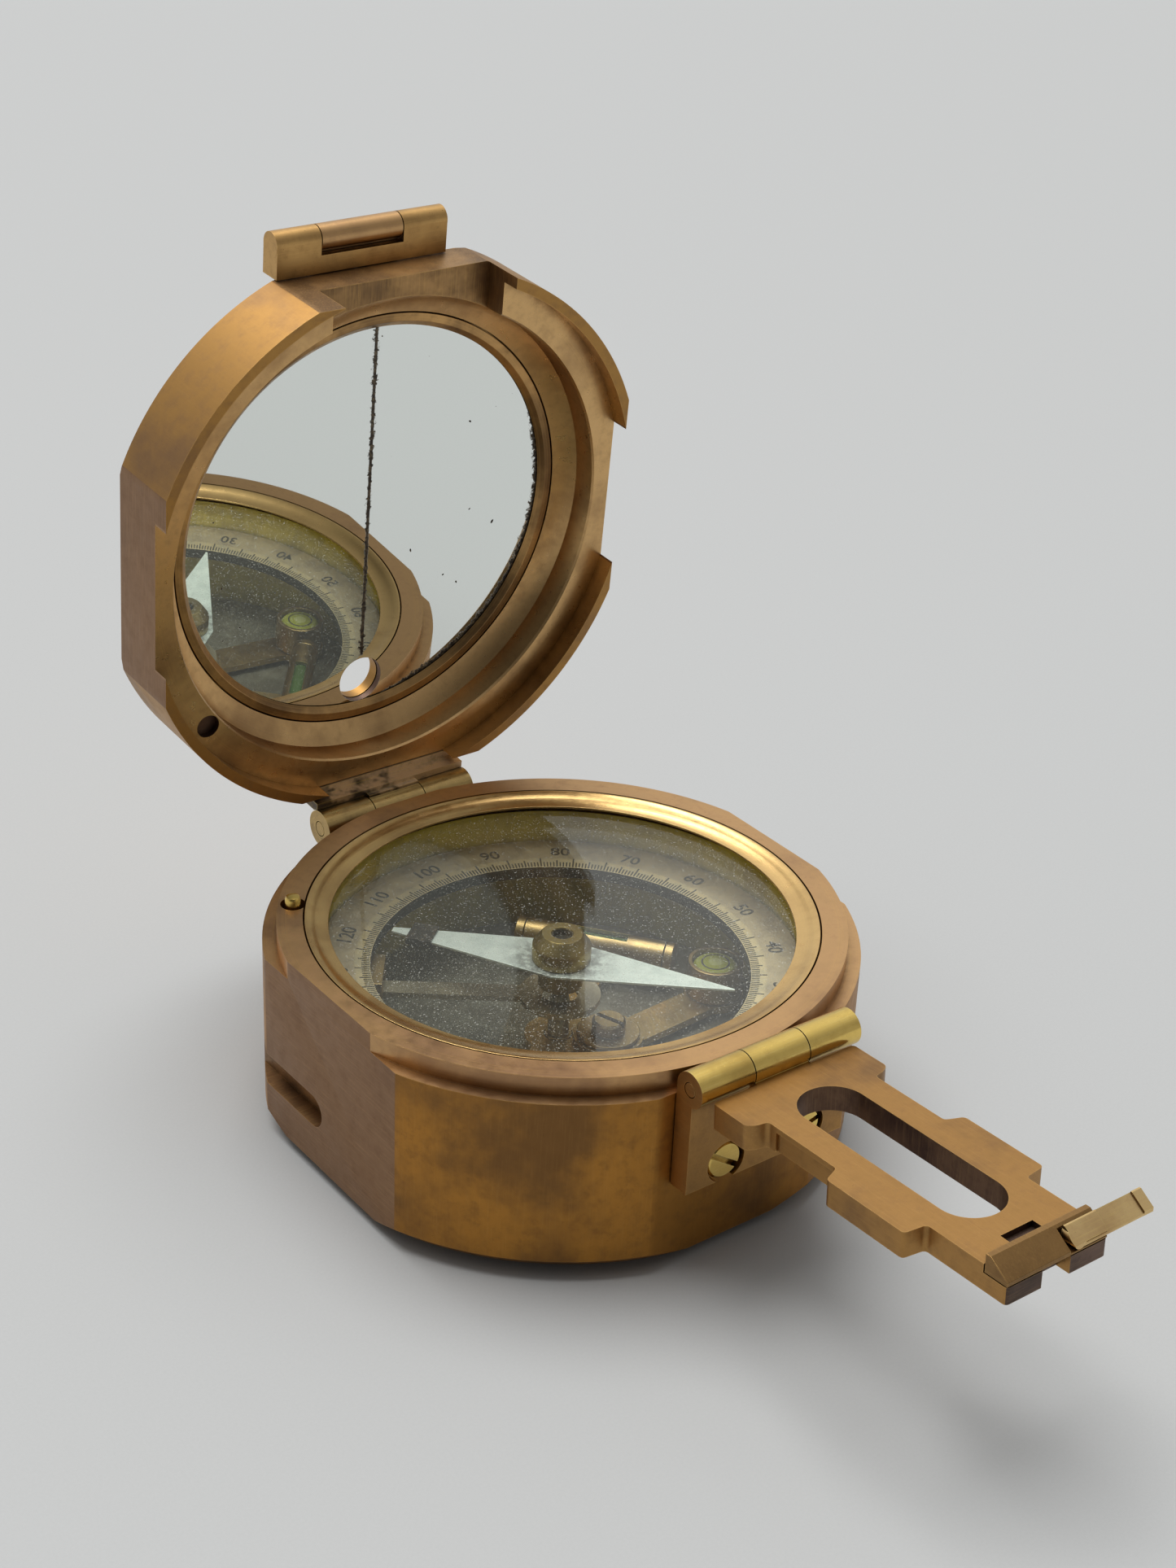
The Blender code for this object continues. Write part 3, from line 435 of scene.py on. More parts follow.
def disc(name, radius, low, high, steps=96):
    return turned(name, [(0, low), (radius, low), (radius, high), (0, high)], steps)


def washer(name, inner, outer, low, high, steps=160):
    return turned(name, [(inner, low), (outer, low), (outer, high), (inner, high)], steps)


def prism(name, outline, low, high):
    """A plate between two heights. The outline runs counterclockwise seen from above."""
    count = len(outline)
    points = [(x, y, low) for x, y in outline] + [(x, y, high) for x, y in outline]
    faces = [list(range(count))[::-1], list(range(count, 2 * count))]
    faces += [[k, (k + 1) % count, count + (k + 1) % count, count + k] for k in range(count)]
    return new_object(name, points, faces)


def box(name, x, y, z):
    return prism(name, [(x[0], y[0]), (x[1], y[0]), (x[1], y[1]), (x[0], y[1])], *z)


def rod(name, start, end, radius, steps=80):
    """A cylinder between two points."""
    a, b = Vector(start), Vector(end)
    obj = disc(name, radius, 0.0, (b - a).length, steps)
    turn = Vector((0, 0, 1)).rotation_difference(b - a).to_matrix().to_4x4()
    obj.data.transform(Matrix.Translation(a * MM) @ turn)
    return obj


def shift(obj, x=0.0, y=0.0, z=0.0, turn=0.0):
    """Turns the mesh about Z, then moves it."""
    obj.data.transform(Matrix.Translation(Vector((x, y, z)) * MM) @ Matrix.Rotation(turn, 4, "Z"))
    return obj


def arc(x, y, radius, first, last, steps):
    """Points on a circle from one angle to another, in degrees."""
    turns = [math.radians(first + (last - first) * k / steps) for k in range(steps + 1)]
    return [(x + radius * math.cos(t), y + radius * math.sin(t)) for t in turns]


def combine(obj, others, operation):
    for other in others:
        modifier = obj.modifiers.new(operation, "BOOLEAN")
        modifier.object = other
        modifier.operation = operation
        modifier.solver = "EXACT"
        bpy.context.view_layer.update()
        graph = bpy.context.evaluated_depsgraph_get()
        mesh = bpy.data.meshes.new_from_object(obj.evaluated_get(graph))
        obj.modifiers.clear()
        obj.data = mesh
        bpy.data.objects.remove(other, do_unlink=True)
    return obj


def cut(obj, *others):
    return combine(obj, others, "DIFFERENCE")


def join(obj, *others):
    return combine(obj, others, "UNION")


def paint(obj, material, *zones):
    """The piece's material, then (material, test) for the faces whose centre and normal pass."""
    obj.data.materials.clear()
    for face in obj.data.polygons:
        face.material_index = 0
    obj.data.materials.append(material)
    for other, test in zones:
        obj.data.materials.append(other)
        for face in obj.data.polygons:
            if test(face.center / MM, face.normal):
                face.material_index = len(obj.data.materials) - 1
    return obj


def soften(obj, width):
    """Rounds the sharp edges."""
    modifier = obj.modifiers.new("edge", "BEVEL")
    modifier.width = width * MM
    modifier.segments = 2
    modifier.limit_method = "ANGLE"
    modifier.angle_limit = math.radians(38)
    modifier.harden_normals = True
    modifier.use_clamp_overlap = True
    return obj


def place(obj, body, nodes=(), pivot=(0.0, 0.0, 0.0), tilt=0.0, round_by=0.12):
    """Shades and softens a piece, puts it where its CAD nodes are and makes it ride with them."""
    obj.data.shade_smooth()
    obj.data.set_sharp_from_angle(angle=math.radians(32))
    obj.data.transform(Matrix.Translation(-Vector(pivot) * MM))
    obj.location = (Vector(pivot) + Vector((0, 0, GROUND))) * MM
    obj.rotation_euler = (tilt, 0.0, 0.0)
    if round_by:
        soften(obj, round_by)
    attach(obj, body)
    if nodes:
        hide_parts(*([nodes] if isinstance(nodes, str) else nodes))
    return obj


def slotted_screw(name, x, y, z, head_r, head_z, shank_r, shank_z, turn):
    profile = [(0, -shank_z), (shank_r, -shank_z), (shank_r, 0), (head_r, 0)]
    profile += [(head_r, head_z - 0.3), (head_r - 0.3, head_z), (0, head_z)]
    screw = turned(name, profile, 72)
    cutter = box("slot", (-head_r - 1, head_r + 1), (-0.35, 0.35), (head_z - 0.8, head_z + 1))
    cut(screw, shift(cutter, turn=math.radians(turn)))
    return shift(screw, x, y, z)


def wall_screw(name, x, z, face_y, toward, head_r, head, shank_r, shank, turn):
    """A screw in an upright wall, with its head toward Y (1) or away from it (-1)."""
    screw = slotted_screw(name, 0, 0, 0, head_r, head, shank_r, shank, turn)
    screw.data.transform(Matrix.Rotation(-toward * math.radians(90), 4, "X"))
    return shift(screw, x, face_y, z)


# --- Case and dial -------------------------------------------------------------------------------


def make_case():
    profile = [(3.0, -0.15), (33.0, -0.15), (33.0, -1.5), (36.5, -1.5), (38.0, 0.0), (38.0, 22.73)]
    profile += [(36.2, 22.73), (36.2, 25.28), (32.9, 25.28), (32.9, 22.6), (31.7, 22.6), (31.7, 4.0)]
    profile += [(3.0, 4.0)]
    case = turned("case_body", profile)
    for side in (-1, 1):
        near, far = sorted((side * FLAT_X, side * 45)), (-45, 45)
        cut(case, box("flat", near, far, (-5, 30)))
        near = sorted((side * FLAT_Y, side * 45))
        cut(case, box("flat", far, near, (-5, 30)))
        depth = sorted((side * (FLAT_X - 2.2), side * 45))
        end = rod("end", (depth[0], 3.9, 6.4), (depth[1], 3.9, 6.4), 2.25, 48)
        cut(case, end, box("slot", depth, (3.9, 30), (4.16, 8.64)))
    cut(case, shift(disc("hole", 1.6, 12.0, 30.0, 48), LIFT_X, LIFT_Y))
    cut(case, shift(box("slot", (29.0, 35.9), (-2.0, 2.0), (11.4, 15.0)), turn=LIFT_ANGLE))

    def on_flat(p, n):
        return abs(p.x) > FLAT_X - 0.05

    def in_slot(p, n):
        return 32.7 < abs(p.x) < FLAT_X - 0.05 and 3 < p.z < 9 and p.y > 1

    def inside(p, n):
        return 20 < math.hypot(p.x, p.y) < 31.9 and 4.2 < p.z < 22.5

    def on_top(p, n):
        return p.z > 22.7 and not on_flat(p, n)

    zones = [(register_metal, on_top), (flat_metal, on_flat), (slot_metal, in_slot), (olive, inside)]
    place(paint(case, case_metal, *zones), "case", "case", round_by=0.16)


def make_dial():
    bezel = [(29.7, 24.12), (32.68, 24.12), (32.68, 25.28), (32.35, 25.28), (31.6, 24.86), (30.6, 24.5)]
    bezel += [(29.7, 24.4)]
    place(paint(turned("bezel", bezel), bezel_metal), "case", "bezel_ring", round_by=0.05)
    place(paint(washer("seal", 30.5, 32.6, 23.75, 24.05, 240), black), "case", "gasket", round_by=0)
    crystal = paint(disc("crystal_pane", 32.6, 22.72, 23.65, 240), crystal_glass)
    place(crystal, "case", "crystal", round_by=0)
    ring = [(24.4, 16.2), (31.45, 16.2), (31.45, 18.05), RING_SHOULDER, RING_INNER]

    # The number ring's upright inner wall is painted soft black: painted shade.
    def shaded_inner_wall(p, n):
        return math.hypot(p.x, p.y) < 24.6 and abs(n.z) < 0.5

    ring = paint(turned("number_ring", ring), dial, (black, shaded_inner_wall))
    place(ring, "case", "graduated_ring", round_by=0.06)
    place(paint(washer("case_floor", 3.4, 31.3, 4.12, 5.0), floor_plate_metal), "case", "floor_plate")
    make_ticks()
    make_numbers()


def ring_height(radius):
    """The ring's top at a radius, where the marks lie."""
    (start, low), (end, high) = RING_INNER, RING_SHOULDER
    return low + (high - low) * min(1.0, (radius - start) / (end - start))


def make_ticks():
    """One thin black mark for each degree, longer at every fifth and longest at every tenth."""
    up = Vector((0, 0, 0.014))
    points = []
    faces = []
    for degree in range(360):
        turn = math.radians(degree)
        reach = 26.45 if degree % 10 == 0 else 26.0 if degree % 5 == 0 else 25.55
        half = 0.11 if degree % 5 == 0 else 0.095
        along = Vector((math.cos(turn), math.sin(turn), 0))
        across = Vector((-along.y, along.x, 0)) * half
        start = len(points)
        for radius in (24.5, reach):
            base = along * radius + Vector((0, 0, ring_height(radius)))
            points += [base - across, base + across, base - across + up, base + across + up]
        a, b, c, d, e, f, g, h = range(start, start + 8)
        faces += [[a, b, d, c], [e, g, h, f], [a, c, g, e], [b, f, h, d], [c, d, h, g], [a, e, f, b]]
    ticks = paint(new_object("degree_marks", points, faces), black)
    place(ticks, "case", round_by=0)


def make_numbers():
    """Numbers from 0 to 170, one every twenty degrees, with their tops outward."""
    made = []
    for count in range(18):
        turn = math.radians(-106 + 20 * count)
        text = bpy.data.curves.new("number", "FONT")
        text.body = str(10 * count)
        text.align_x = "CENTER"
        text.align_y = "CENTER"
        text.size = 2.75 * MM
        text.extrude = 0.008 * MM
        text.offset = 0.035 * MM
        obj = bpy.data.objects.new("number", text)
        bpy.context.scene.collection.objects.link(obj)
        bpy.context.view_layer.update()
        graph = bpy.context.evaluated_depsgraph_get()
        mesh = bpy.data.meshes.new_from_object(obj.evaluated_get(graph))
        bpy.data.objects.remove(obj, do_unlink=True)
        x, y = polar(28.15, turn)
        spin = Matrix.Rotation(turn - math.pi / 2, 4, "Z")
        mesh.transform(Matrix.Translation(Vector((x, y, 18.09)) * MM) @ spin)
        made.append(mesh)
    points = []
    faces = []
    for mesh in made:
        start = len(points)
        points += [vertex.co / MM for vertex in mesh.vertices]
        faces += [[start + index for index in face.vertices] for face in mesh.polygons]
    numbers = paint(new_object("ring_numbers", points, faces), number_fill)
    place(numbers, "case", round_by=0)


# --- Works under the glass -----------------------------------------------------------------------


def make_clinometer():
    shaft = [(0, -1.55), (1.8, -1.55), (1.8, -0.25), (2.9, -0.25)]
    shaft += [(2.9, 6.0), (1.8, 6.0), (1.8, 7.3), (0, 7.3)]
    place(paint(turned("turning_shaft", shaft, 96), works_metal), "clinometer", "clinometer_shaft")

    back = CLINO_ANGLE + math.pi
    lever = washer("turning_lever", 1.92, 5.0, -1.55, -0.35, 96)
    join(lever, shift(box("bar", (3.0, 23.0), (-2.2, 2.2), (-1.54, -0.36)), turn=back))
    join(lever, shift(disc("knob", 2.2, -2.85, -0.35, 64), *polar(23.0, back)))
    place(paint(lever, works_metal), "clinometer", "back_lever")

    low, high = 6.1, 7.1
    carrier = washer("level_carrier", 1.92, 4.4, low, high, 96)
    bars = [box("bar", (3.5, 18.0), (-2.0, 2.0), (low, high))]
    bars.append(box("cross", (16.6, 19.6), (-10.4, 10.4), (low, high)))
    for side in (-1, 1):
        bars.append(box("cradle", (16.8, 19.4), sorted((side * 8.2, side * 10.2)), (high - 0.4, 10.0)))
    for bar in bars:
        join(carrier, shift(bar, turn=CLINO_ANGLE))
    vernier = arc(0, 0, 19.0, -15, 15, 40) + arc(0, 0, 14.8, 15, -15, 40)
    join(carrier, shift(prism("vernier", vernier, low, high), turn=back))
    join(carrier, shift(box("bar", (3.5, 16.0), (-2.4, 2.4), (low, high)), turn=back))
    join(carrier, shift(disc("boss", 4.6, low, high + 0.8, 72), *CLAMP))
    join(carrier, shift(disc("pad", 4.0, low, high, 72), *ROUND_LEVEL))
    link = math.atan2(ROUND_LEVEL[1] - CLAMP[1], ROUND_LEVEL[0] - CLAMP[0])
    join(carrier, shift(box("link", (0, 19), (-3.0, 2.2), (low, high)), *CLAMP, turn=link))
    x, y = polar(LEVEL_R, CLINO_ANGLE)
    dx, dy = polar(13.0, CLINO_ANGLE + math.pi / 2)
    cut(carrier, rod("seat", (x - dx, y - dy, LEVEL_Z), (x + dx, y + dy, LEVEL_Z), 2.2))
    cut(carrier, shift(disc("thread", 1.0, low - 1, high + 2, 48), *CLAMP))
    place(paint(carrier, works_metal), "clinometer", "clinometer_arm")

    disc_washer = paint(shift(washer("screw_washer", 1.0, 4.1, 8.0, 8.5, 96), *CLAMP), works_metal)
    place(disc_washer, "clinometer", "clamp_washer", round_by=0.1)
    screw = slotted_screw("clamping_screw", *CLAMP, 8.6, 2.2, 1.7, 0.85, 2.4, 110)
    place(paint(screw, works_metal), "clinometer", "clamp_screw")


def make_levels():
    x, y = polar(LEVEL_R, CLINO_ANGLE)

    def lay(obj):
        obj.data.transform(Matrix.Rotation(math.radians(90), 4, "X"))
        return shift(obj, x, y, LEVEL_Z, CLINO_ANGLE)

    tube = washer("tube_level", 1.6, 2.1, -9.7, 9.7, 80)
    cut(tube, box("window", (-0.9, 0.9), (0.5, 3.0), (-4.5, 4.5)))
    place(paint(lay(tube), works_metal), "clinometer", "level_tube", round_by=0.06)
    vial = paint(lay(disc("tube_vial", 1.45, -9.4, 9.4, 64)), vial_glass)
    place(vial, "clinometer", "level_vial", round_by=0)
    for name, node, side in (("tube_cap_a", "level_cap_a", -1), ("tube_cap_b", "level_cap_b", 1)):
        cap = lay(disc(name, 2.1, *sorted((side * 9.8, side * 11.0)), 80))
        place(paint(cap, works_metal), "clinometer", node)
    cup = [(0, 7.2), (3.7, 7.2), (3.7, 12.0), (3.1, 12.0), (3.1, 8.2), (0, 8.2)]
    cup = paint(shift(turned("round_cup", cup, 96), *ROUND_LEVEL), works_metal)
    place(cup, "clinometer", "round_level_cup")
    dome = [(0, 8.35), (2.95, 8.35), (2.95, 11.2), (2.6, 11.55), (1.95, 11.7), (1.7, 11.72)]
    dome += [(0.95, 11.77), (0, 11.8)]
    vial = turned("round_vial", dome, 96)

    def target(p, n):
        return 1.7 < math.hypot(p.x, p.y) < 1.95 and p.z > 11.3

    def bubble(p, n):
        return math.hypot(p.x, p.y) < 0.96 and p.z > 11.3

    vial = shift(paint(vial, round_glass, (black, target), (bubble_glass, bubble)), *ROUND_LEVEL)
    place(vial, "clinometer", "round_level_vial", round_by=0)


def make_needle():
    pivot = [(0, 7.42), (1.4, 7.42), (1.4, 12.0), (0.2, 17.2), (0, 17.2)]
    place(paint(turned("pivot_post", pivot, 72), steel), "clinometer", "needle_pivot", round_by=0)
    outline = [(22.8, -0.5), (22.8, 0.5), (0, 4.6), (-22.8, 0.14), (-22.8, -0.14), (0, -4.6)]
    blade = cut(prism("blade", outline, 18.2, 18.55), disc("hole", 2.0, 17, 20, 72))
    blade = paint(shift(blade, turn=NEEDLE_ANGLE), pale_steel)
    place(blade, "needle", "needle_blade", round_by=0.09)
    hub = [(0, 17.5), (1.5, 17.5), (1.9, 14.85), (2.9, 14.85), (2.9, 18.08), (1.8, 18.08)]
    hub += [(1.8, 18.67), (3.75, 18.67), (3.8, 18.75), (3.8, 20.75), (3.7, 20.95), (2.75, 22.25)]
    hub += [(2.6, 22.4), (1.45, 22.4), (1.3, 22.2), (1.2, 21.4), (0, 21.4)]

    # The small dimple in the cap's top is painted soft black.
    def cap_dimple(p, n):
        return math.hypot(p.x, p.y) < 1.25 and p.z > 21

    hub = paint(turned("cap", hub, 120), hub_metal, (black, cap_dimple))
    place(hub, "needle", "needle_hub", round_by=0.05)
    band = box("wire_band", (17.0, 20.4), (-2.05, 2.05), (17.85, 18.9))
    cut(band, box("opening", (16.0, 21.4), (-1.72, 1.72), (18.1, 18.65)))
    band = paint(shift(band, turn=NEEDLE_ANGLE), blackened)
    place(band, "needle", "balance_wire", round_by=0.14)


def make_lifter():
    reach = math.hypot(LIFT_X, LIFT_Y)
    pin = [(0, 13.55), (1.0, 13.55), (1.0, 26.1), (0.85, 26.4), (0.5, 26.5), (0, 26.5)]
    pin = paint(shift(turned("push_pin", pin, 64), LIFT_X, LIFT_Y), polished)
    place(pin, "lift_pin", "lift_pin", round_by=0)
    lever = washer("lifting_lever", 2.4, 5.3, 12.6, 13.4, 96)
    join(lever, shift(box("bar", (4.8, reach + 1.0), (-1.4, 1.4), (12.61, 13.39)), turn=LIFT_ANGLE))
    join(lever, shift(box("boss", (22.9, 25.1), (-1.3, 1.3), (12.8, 14.9)), turn=LIFT_ANGLE))
    x, y = polar(FULCRUM_R, LIFT_ANGLE)
    dx, dy = polar(1.0, LIFT_ANGLE + math.pi / 2)

    def axle(name, half, radius):
        ends = [(x + s * dx * half, y + s * dy * half, FULCRUM_Z) for s in (-1, 1)]
        return rod(name, *ends, radius, 48)

    cut(lever, axle("hole", 4.0, 0.6))
    place(paint(lever, lever_metal), "lifter", "lifter_lever", pivot=(x, y, FULCRUM_Z))
    yoke = shift(box("lever_bracket", (22.7, 31.2), (-3.6, 3.6), (12.8, 16.0)), turn=LIFT_ANGLE)
    cut(yoke, shift(box("way", (21.0, 33.0), (-2.0, 2.0), (11.0, 15.2)), turn=LIFT_ANGLE))
    cut(yoke, axle("hole", 5.0, 0.6))
    place(paint(yoke, works_metal), "case", "lever_yoke")
    place(paint(axle("cross_pin", 3.55, 0.5), steel), "case", "lever_pin", round_by=0)


# --- Lid -----------------------------------------------------------------------------------------


def make_lid():
    def open_up(obj, nodes, slot="brass", body="lid", round_by=0.12):
        return place(obj, body, nodes, HINGE, -LID_OPEN, round_by)

    profile = [(0, 33.1), (29.5, 33.1), (29.5, 31.2), (31.3, 30.4), (32.3, 29.4), (32.4, 26.0), (32.6, 25.7)]
    profile += [(36.5, 25.7), (36.5, 23.0), (37.9, 23.0), (37.9, 34.2), (37.4, 34.7), (0, 34.7)]
    shell = turned("lid_body", profile)
    for side in (-1, 1):
        near, far = sorted((side * (FLAT_X + 0.07), side * 45)), (-45, 45)
        cut(shell, box("flat", near, far, (20, 40)))
        cut(shell, box("flat", far, near, (20, 40)))
    cut(shell, box("pocket", (-10.7, 14.8), (-40, -27.5), (20, 29.15)))
    cut(shell, shift(disc("window", 3.2, 20, 40, 96), y=24.2))
    cut(shell, shift(disc("hole", 1.6, 24, 26.7, 48), LIFT_X, LIFT_Y))

    def on_flat(p, n):
        return abs(p.x) > 35.0

    def inner(p, n):
        return math.hypot(p.x, p.y) < 36.6 and p.z < 33.5

    def pocket(p, n):
        return p.y < -27.4 and -10.8 < p.x < 14.9 and p.z < 29.3

    # The pin hole's wall takes the dark brass: painted shade inside the hole.
    def pin_hole(p, n):
        return math.hypot(p.x - LIFT_X, p.y - LIFT_Y) < 1.65 and p.z > 25.75

    zones = [(lid_inner_metal, inner), (lid_flat_metal, on_flat), (milled_metal, pocket)]
    paint(shell, lid_metal, *zones, (tip_dark, pin_hole))
    open_up(shell, "lid_shell", round_by=0.16)

    glass = disc("looking_glass", 29.2, 32.1, 33.0, 240)
    cut(glass, shift(disc("window", 3.3, 20, 40, 96), y=24.2))

    def edge(p, n):
        return abs(n.z) < 0.5

    open_up(paint(glass, silvered, (tip_dark, edge)), "mirror", "mirror", round_by=0.03)
    ring = [(27.4, 31.95), (28.2, 31.2), (29.3, 31.2), (29.3, 31.95)]
    open_up(paint(turned("glass_ring", ring), ring_metal), "mirror_ring", round_by=0.08)

    leaf = box("hinge_leaf", (-11.8, 11.8), (35.19, 37.4), (23.3, 33.6))
    cut(leaf, box("register_room", (-15, 15), (30, 36.1), (20, 25.48)))
    for side in (-1, 1):
        ends = [(side * a, HINGE.y, HINGE.z) for a in (4.15, 20)]
        cut(leaf, rod("clearance", *ends, 2.66))
    join(leaf, box("web", (-4, 4), (36.6, 40.0), (HINGE.z, 24.9)))
    join(leaf, rod("knuckle", (-4.001, HINGE.y, HINGE.z), (4.001, HINGE.y, HINGE.z), 2.6))
    cut(leaf, rod("hole", (-9, HINGE.y, HINGE.z), (9, HINGE.y, HINGE.z), 1.1, 48))

    def knuckle(p, n):
        return abs(p.x) < 4.2 and (p.yz - HINGE.yz).length < 2.7

    open_up(paint(leaf, worn_leaf, (hinge_metal, knuckle)), "lid_hinge_leaf", "dark_brass")
    make_lid_sight(open_up)


def make_lid_sight(open_up):
    y, z, radius = -39.3, 35.35, 1.65
    ears = box("sight_ears", (-14.0, 11.0), (y, -35.19), (z - radius, z + radius))
    join(ears, rod("round", (-14.02, y, z), (11.02, y, z), radius))
    cut(ears, box("gap", (-7.65, 4.45), (-45, y + radius + 0.15), (20, 40)))
    cut(ears, box("rebate", (-7.65, 4.45), (-45, -30), (34.6, 40)))
    cut(ears, rod("hole", (-13.0, y, z), (10.0, y, z), 0.8, 48))
    open_up(paint(ears, ears_metal), "lid_sight_ears")
    pin = paint(rod("sight_pin", (-12.9, y, z), (9.9, y, z), 0.7, 48), steel)
    open_up(pin, "lid_sight_pin", "steel", round_by=0)
    leaf = rod("sight_leaf", (-7.5, y, z), (4.3, y, z), radius)
    join(leaf, box("leaf", (-7.48, 4.28), (y, -26.5), (34.85, 35.9)))
    cut(leaf, box("slit", (-2.0, -1.2), (-36.0, -28.5), (30, 40)))
    cut(leaf, rod("hole", (-12, y, z), (6, y, z), 0.8, 48))
    open_up(paint(leaf, register_metal), "lid_sight_leaf", "bright_brass", "lid_sight")


def make_lid_hinge():
    y, z, radius = HINGE.y, HINGE.z, 2.6
    bracket = box("hinge_bracket", (-11.77, 11.77), (FLAT_Y + 0.12, 38.9), (9.8, z))
    join(bracket, rod("barrel", (-11.8, y, z), (11.8, y, z), radius))
    cut(bracket, box("gap", (-4.15, 4.15), (36.35, 45), (z - radius - 0.3, 30)))
    cut(bracket, box("top", (-4.15, 4.15), (30, 45), (z - 0.9, 30)))
    cut(bracket, rod("hole", (-20, y, z), (20, y, z), 1.1, 48))
    for x in (-SCREW_X, SCREW_X):
        cut(bracket, rod("hole", (x, 30, SCREW_Z), (x, 45, SCREW_Z), 1.1, 48))
        cut(bracket, rod("sink", (x, 37.3, SCREW_Z), (x, 45, SCREW_Z), 2.7))

    def plate(p, n):
        return p.z < 19.5

    place(paint(bracket, hinge_metal, (flat_metal, plate)), "case", "lid_hinge_bracket")
    pin = rod("hinge_pin", (-11.8, y, z), (11.8, y, z), 1.0, 64)
    place(paint(pin, hinge_metal), "case", "lid_hinge_pin", round_by=0.05)
    for letter, x, turn in (("a", -SCREW_X, 20), ("b", SCREW_X, 75)):
        screw = wall_screw("wall_screw_" + letter, x, SCREW_Z, 37.4, 1, 2.4, 1.3, 0.95, 4.3, turn)
        place(paint(screw, hinge_metal), "case", "hinge_screw_" + letter)


# --- Sighting arm --------------------------------------------------------------------------------


def make_arm_bracket():
    ends = (ARM_X - 12.2, ARM_X + 12.2)
    bracket = box("arm_mount", (ends[0] + 0.03, ends[1] - 0.03), (-38.85, -36.02), (9.8, ARM_Z))
    start, stop = (ends[0], ARM_Y, ARM_Z), (ends[1], ARM_Y, ARM_Z)
    join(bracket, rod("barrel", start, stop, 2.3))
    cut(bracket, box("gap", (ARM_X - 4.25, ARM_X + 4.25), (-45, -30), (ARM_Z - 2.6, 30)))
    cut(bracket, rod("hole", (-20, ARM_Y, ARM_Z), (20, ARM_Y, ARM_Z), 1.0, 48))
    for x in (ARM_X - SCREW_X, ARM_X + SCREW_X):
        cut(bracket, rod("hole", (x, -30, SCREW_Z), (x, -45, SCREW_Z), 1.1, 48))
        cut(bracket, rod("sink", (x, -37.3, SCREW_Z), (x, -45, SCREW_Z), 2.8))

    def barrel(p, n):
        return p.z > 22.2 and ends[0] + 0.05 < p.x < ends[1] - 0.05

    place(paint(bracket, arm_metal, (polished, barrel)), "case", "arm_bracket")
    pin = paint(rod("arm_hinge_pin", start, stop, 0.9, 64), arm_metal)
    place(pin, "case", "arm_pin", round_by=0.05)
    for letter, x, turn in (("a", ARM_X - SCREW_X, -35), ("b", ARM_X + SCREW_X, 15)):
        screw = wall_screw("mount_screw_" + letter, x, SCREW_Z, -37.4, -1, 2.5, 1.25, 0.95, 4.3, turn)
        place(paint(screw, polished), "case", "bracket_screw_" + letter)


def rounded(points, radius):
    """The outline with each corner cut back by radius and rounded, less where its sides are short."""
    made = []
    count = len(points)
    steps = 5
    for k in range(count):
        a, b, c = (Vector(points[(k + d) % count]) for d in (-1, 0, 1))
        back = min(radius, (a - b).length * 0.45, (c - b).length * 0.45)
        first, last = b + (a - b).normalized() * back, b + (c - b).normalized() * back
        for s in range(steps + 1):
            t = s / steps
            made.append(tuple(first * (1 - t) ** 2 + b * 2 * t * (1 - t) + last * t * t))
    return made


def make_arm():
    top, low = ARM_Z - 1.0, ARM_Z - 4.3
    half = [(10.8, 2.5), (10.8, 8.3), (9.6, 9.0), (8.2, 9.2), (8.2, 20.6), (9.0, 21.0)]
    half += [(10.5, 21.6), (10.5, 33.9), (7.5, 34.3), (7.5, 46.3)]
    outline = [(ARM_X - x, ARM_Y - along) for x, along in half]
    outline += [(ARM_X + x, ARM_Y - along) for x, along in half[::-1]]
    arm = prism("sighting_arm", rounded(outline, 0.55), low, top)
    slot = arc(ARM_X, ARM_Y - 11.2, 4.3, 0, 180, 48) + arc(ARM_X, ARM_Y - 32.9, 4.3, 180, 360, 48)
    cut(arm, prism("slot", slot, 10, 30))
    cut(arm, box("fork", (ARM_X - 2.3, ARM_X + 1.9), (-90, ARM_Y - 44.4), (10, 30)))
    cut(arm, box("rebate", (-10, 20), (-90, ARM_Y - 42.8), (top - 1.1, 30)))
    cut(arm, box("nick", (ARM_X - 2.6, ARM_X + 2.2), (ARM_Y - 42.4, ARM_Y - 40.3), (top - 0.8, 30)))
    for side in (-1, 1):
        face = sorted((ARM_X + side * 7.85, ARM_X + side * 8.5))
        cut(arm, box("relief", face, (ARM_Y - 20.0, ARM_Y - 10.6), (low - 1, top - 0.7)))
    join(arm, box("neck", (ARM_X - 4.1, ARM_X + 4.1), (ARM_Y - 3.0, ARM_Y), (ARM_Z - 2.28, top - 0.02)))
    join(arm, rod("knuckle", (ARM_X - 4.101, ARM_Y, ARM_Z), (ARM_X + 4.101, ARM_Y, ARM_Z), 2.3))
    cut(arm, rod("hole", (-20, ARM_Y, ARM_Z), (20, ARM_Y, ARM_Z), 1.0, 48))

    def knuckle(p, n):
        return (p.yz - ARM_PIVOT.yz).length < 2.35 and abs(n.x) < 0.5

    # The slot's upright walls take the darker brass: painted shade.
    def slot_wall(p, n):
        return abs(n.z) < 0.3 and abs(p.x - ARM_X) < 4.4 and ARM_Y - 38 < p.y < ARM_Y - 6

    # The arm's end face toward the viewer takes the dark brass: painted shade.
    def tip(p, n):
        return n.y < -0.7 and p.y < ARM_Y - 44

    # The nick's faces take the dark brass: painted shade in the recess.
    def nick(p, n):
        return ARM_Y - 42.45 < p.y < ARM_Y - 40.25 and top - 0.85 < p.z < top - 0.02

    paint(arm, arm_metal, (shaded_arm_wall_metal, slot_wall), (tip_dark, tip), (tip_dark, nick), (polished, knuckle))
    place(arm, "arm", "sight_arm", ARM_PIVOT, -ARM_RAISED, 0.16)
    make_peep(top)


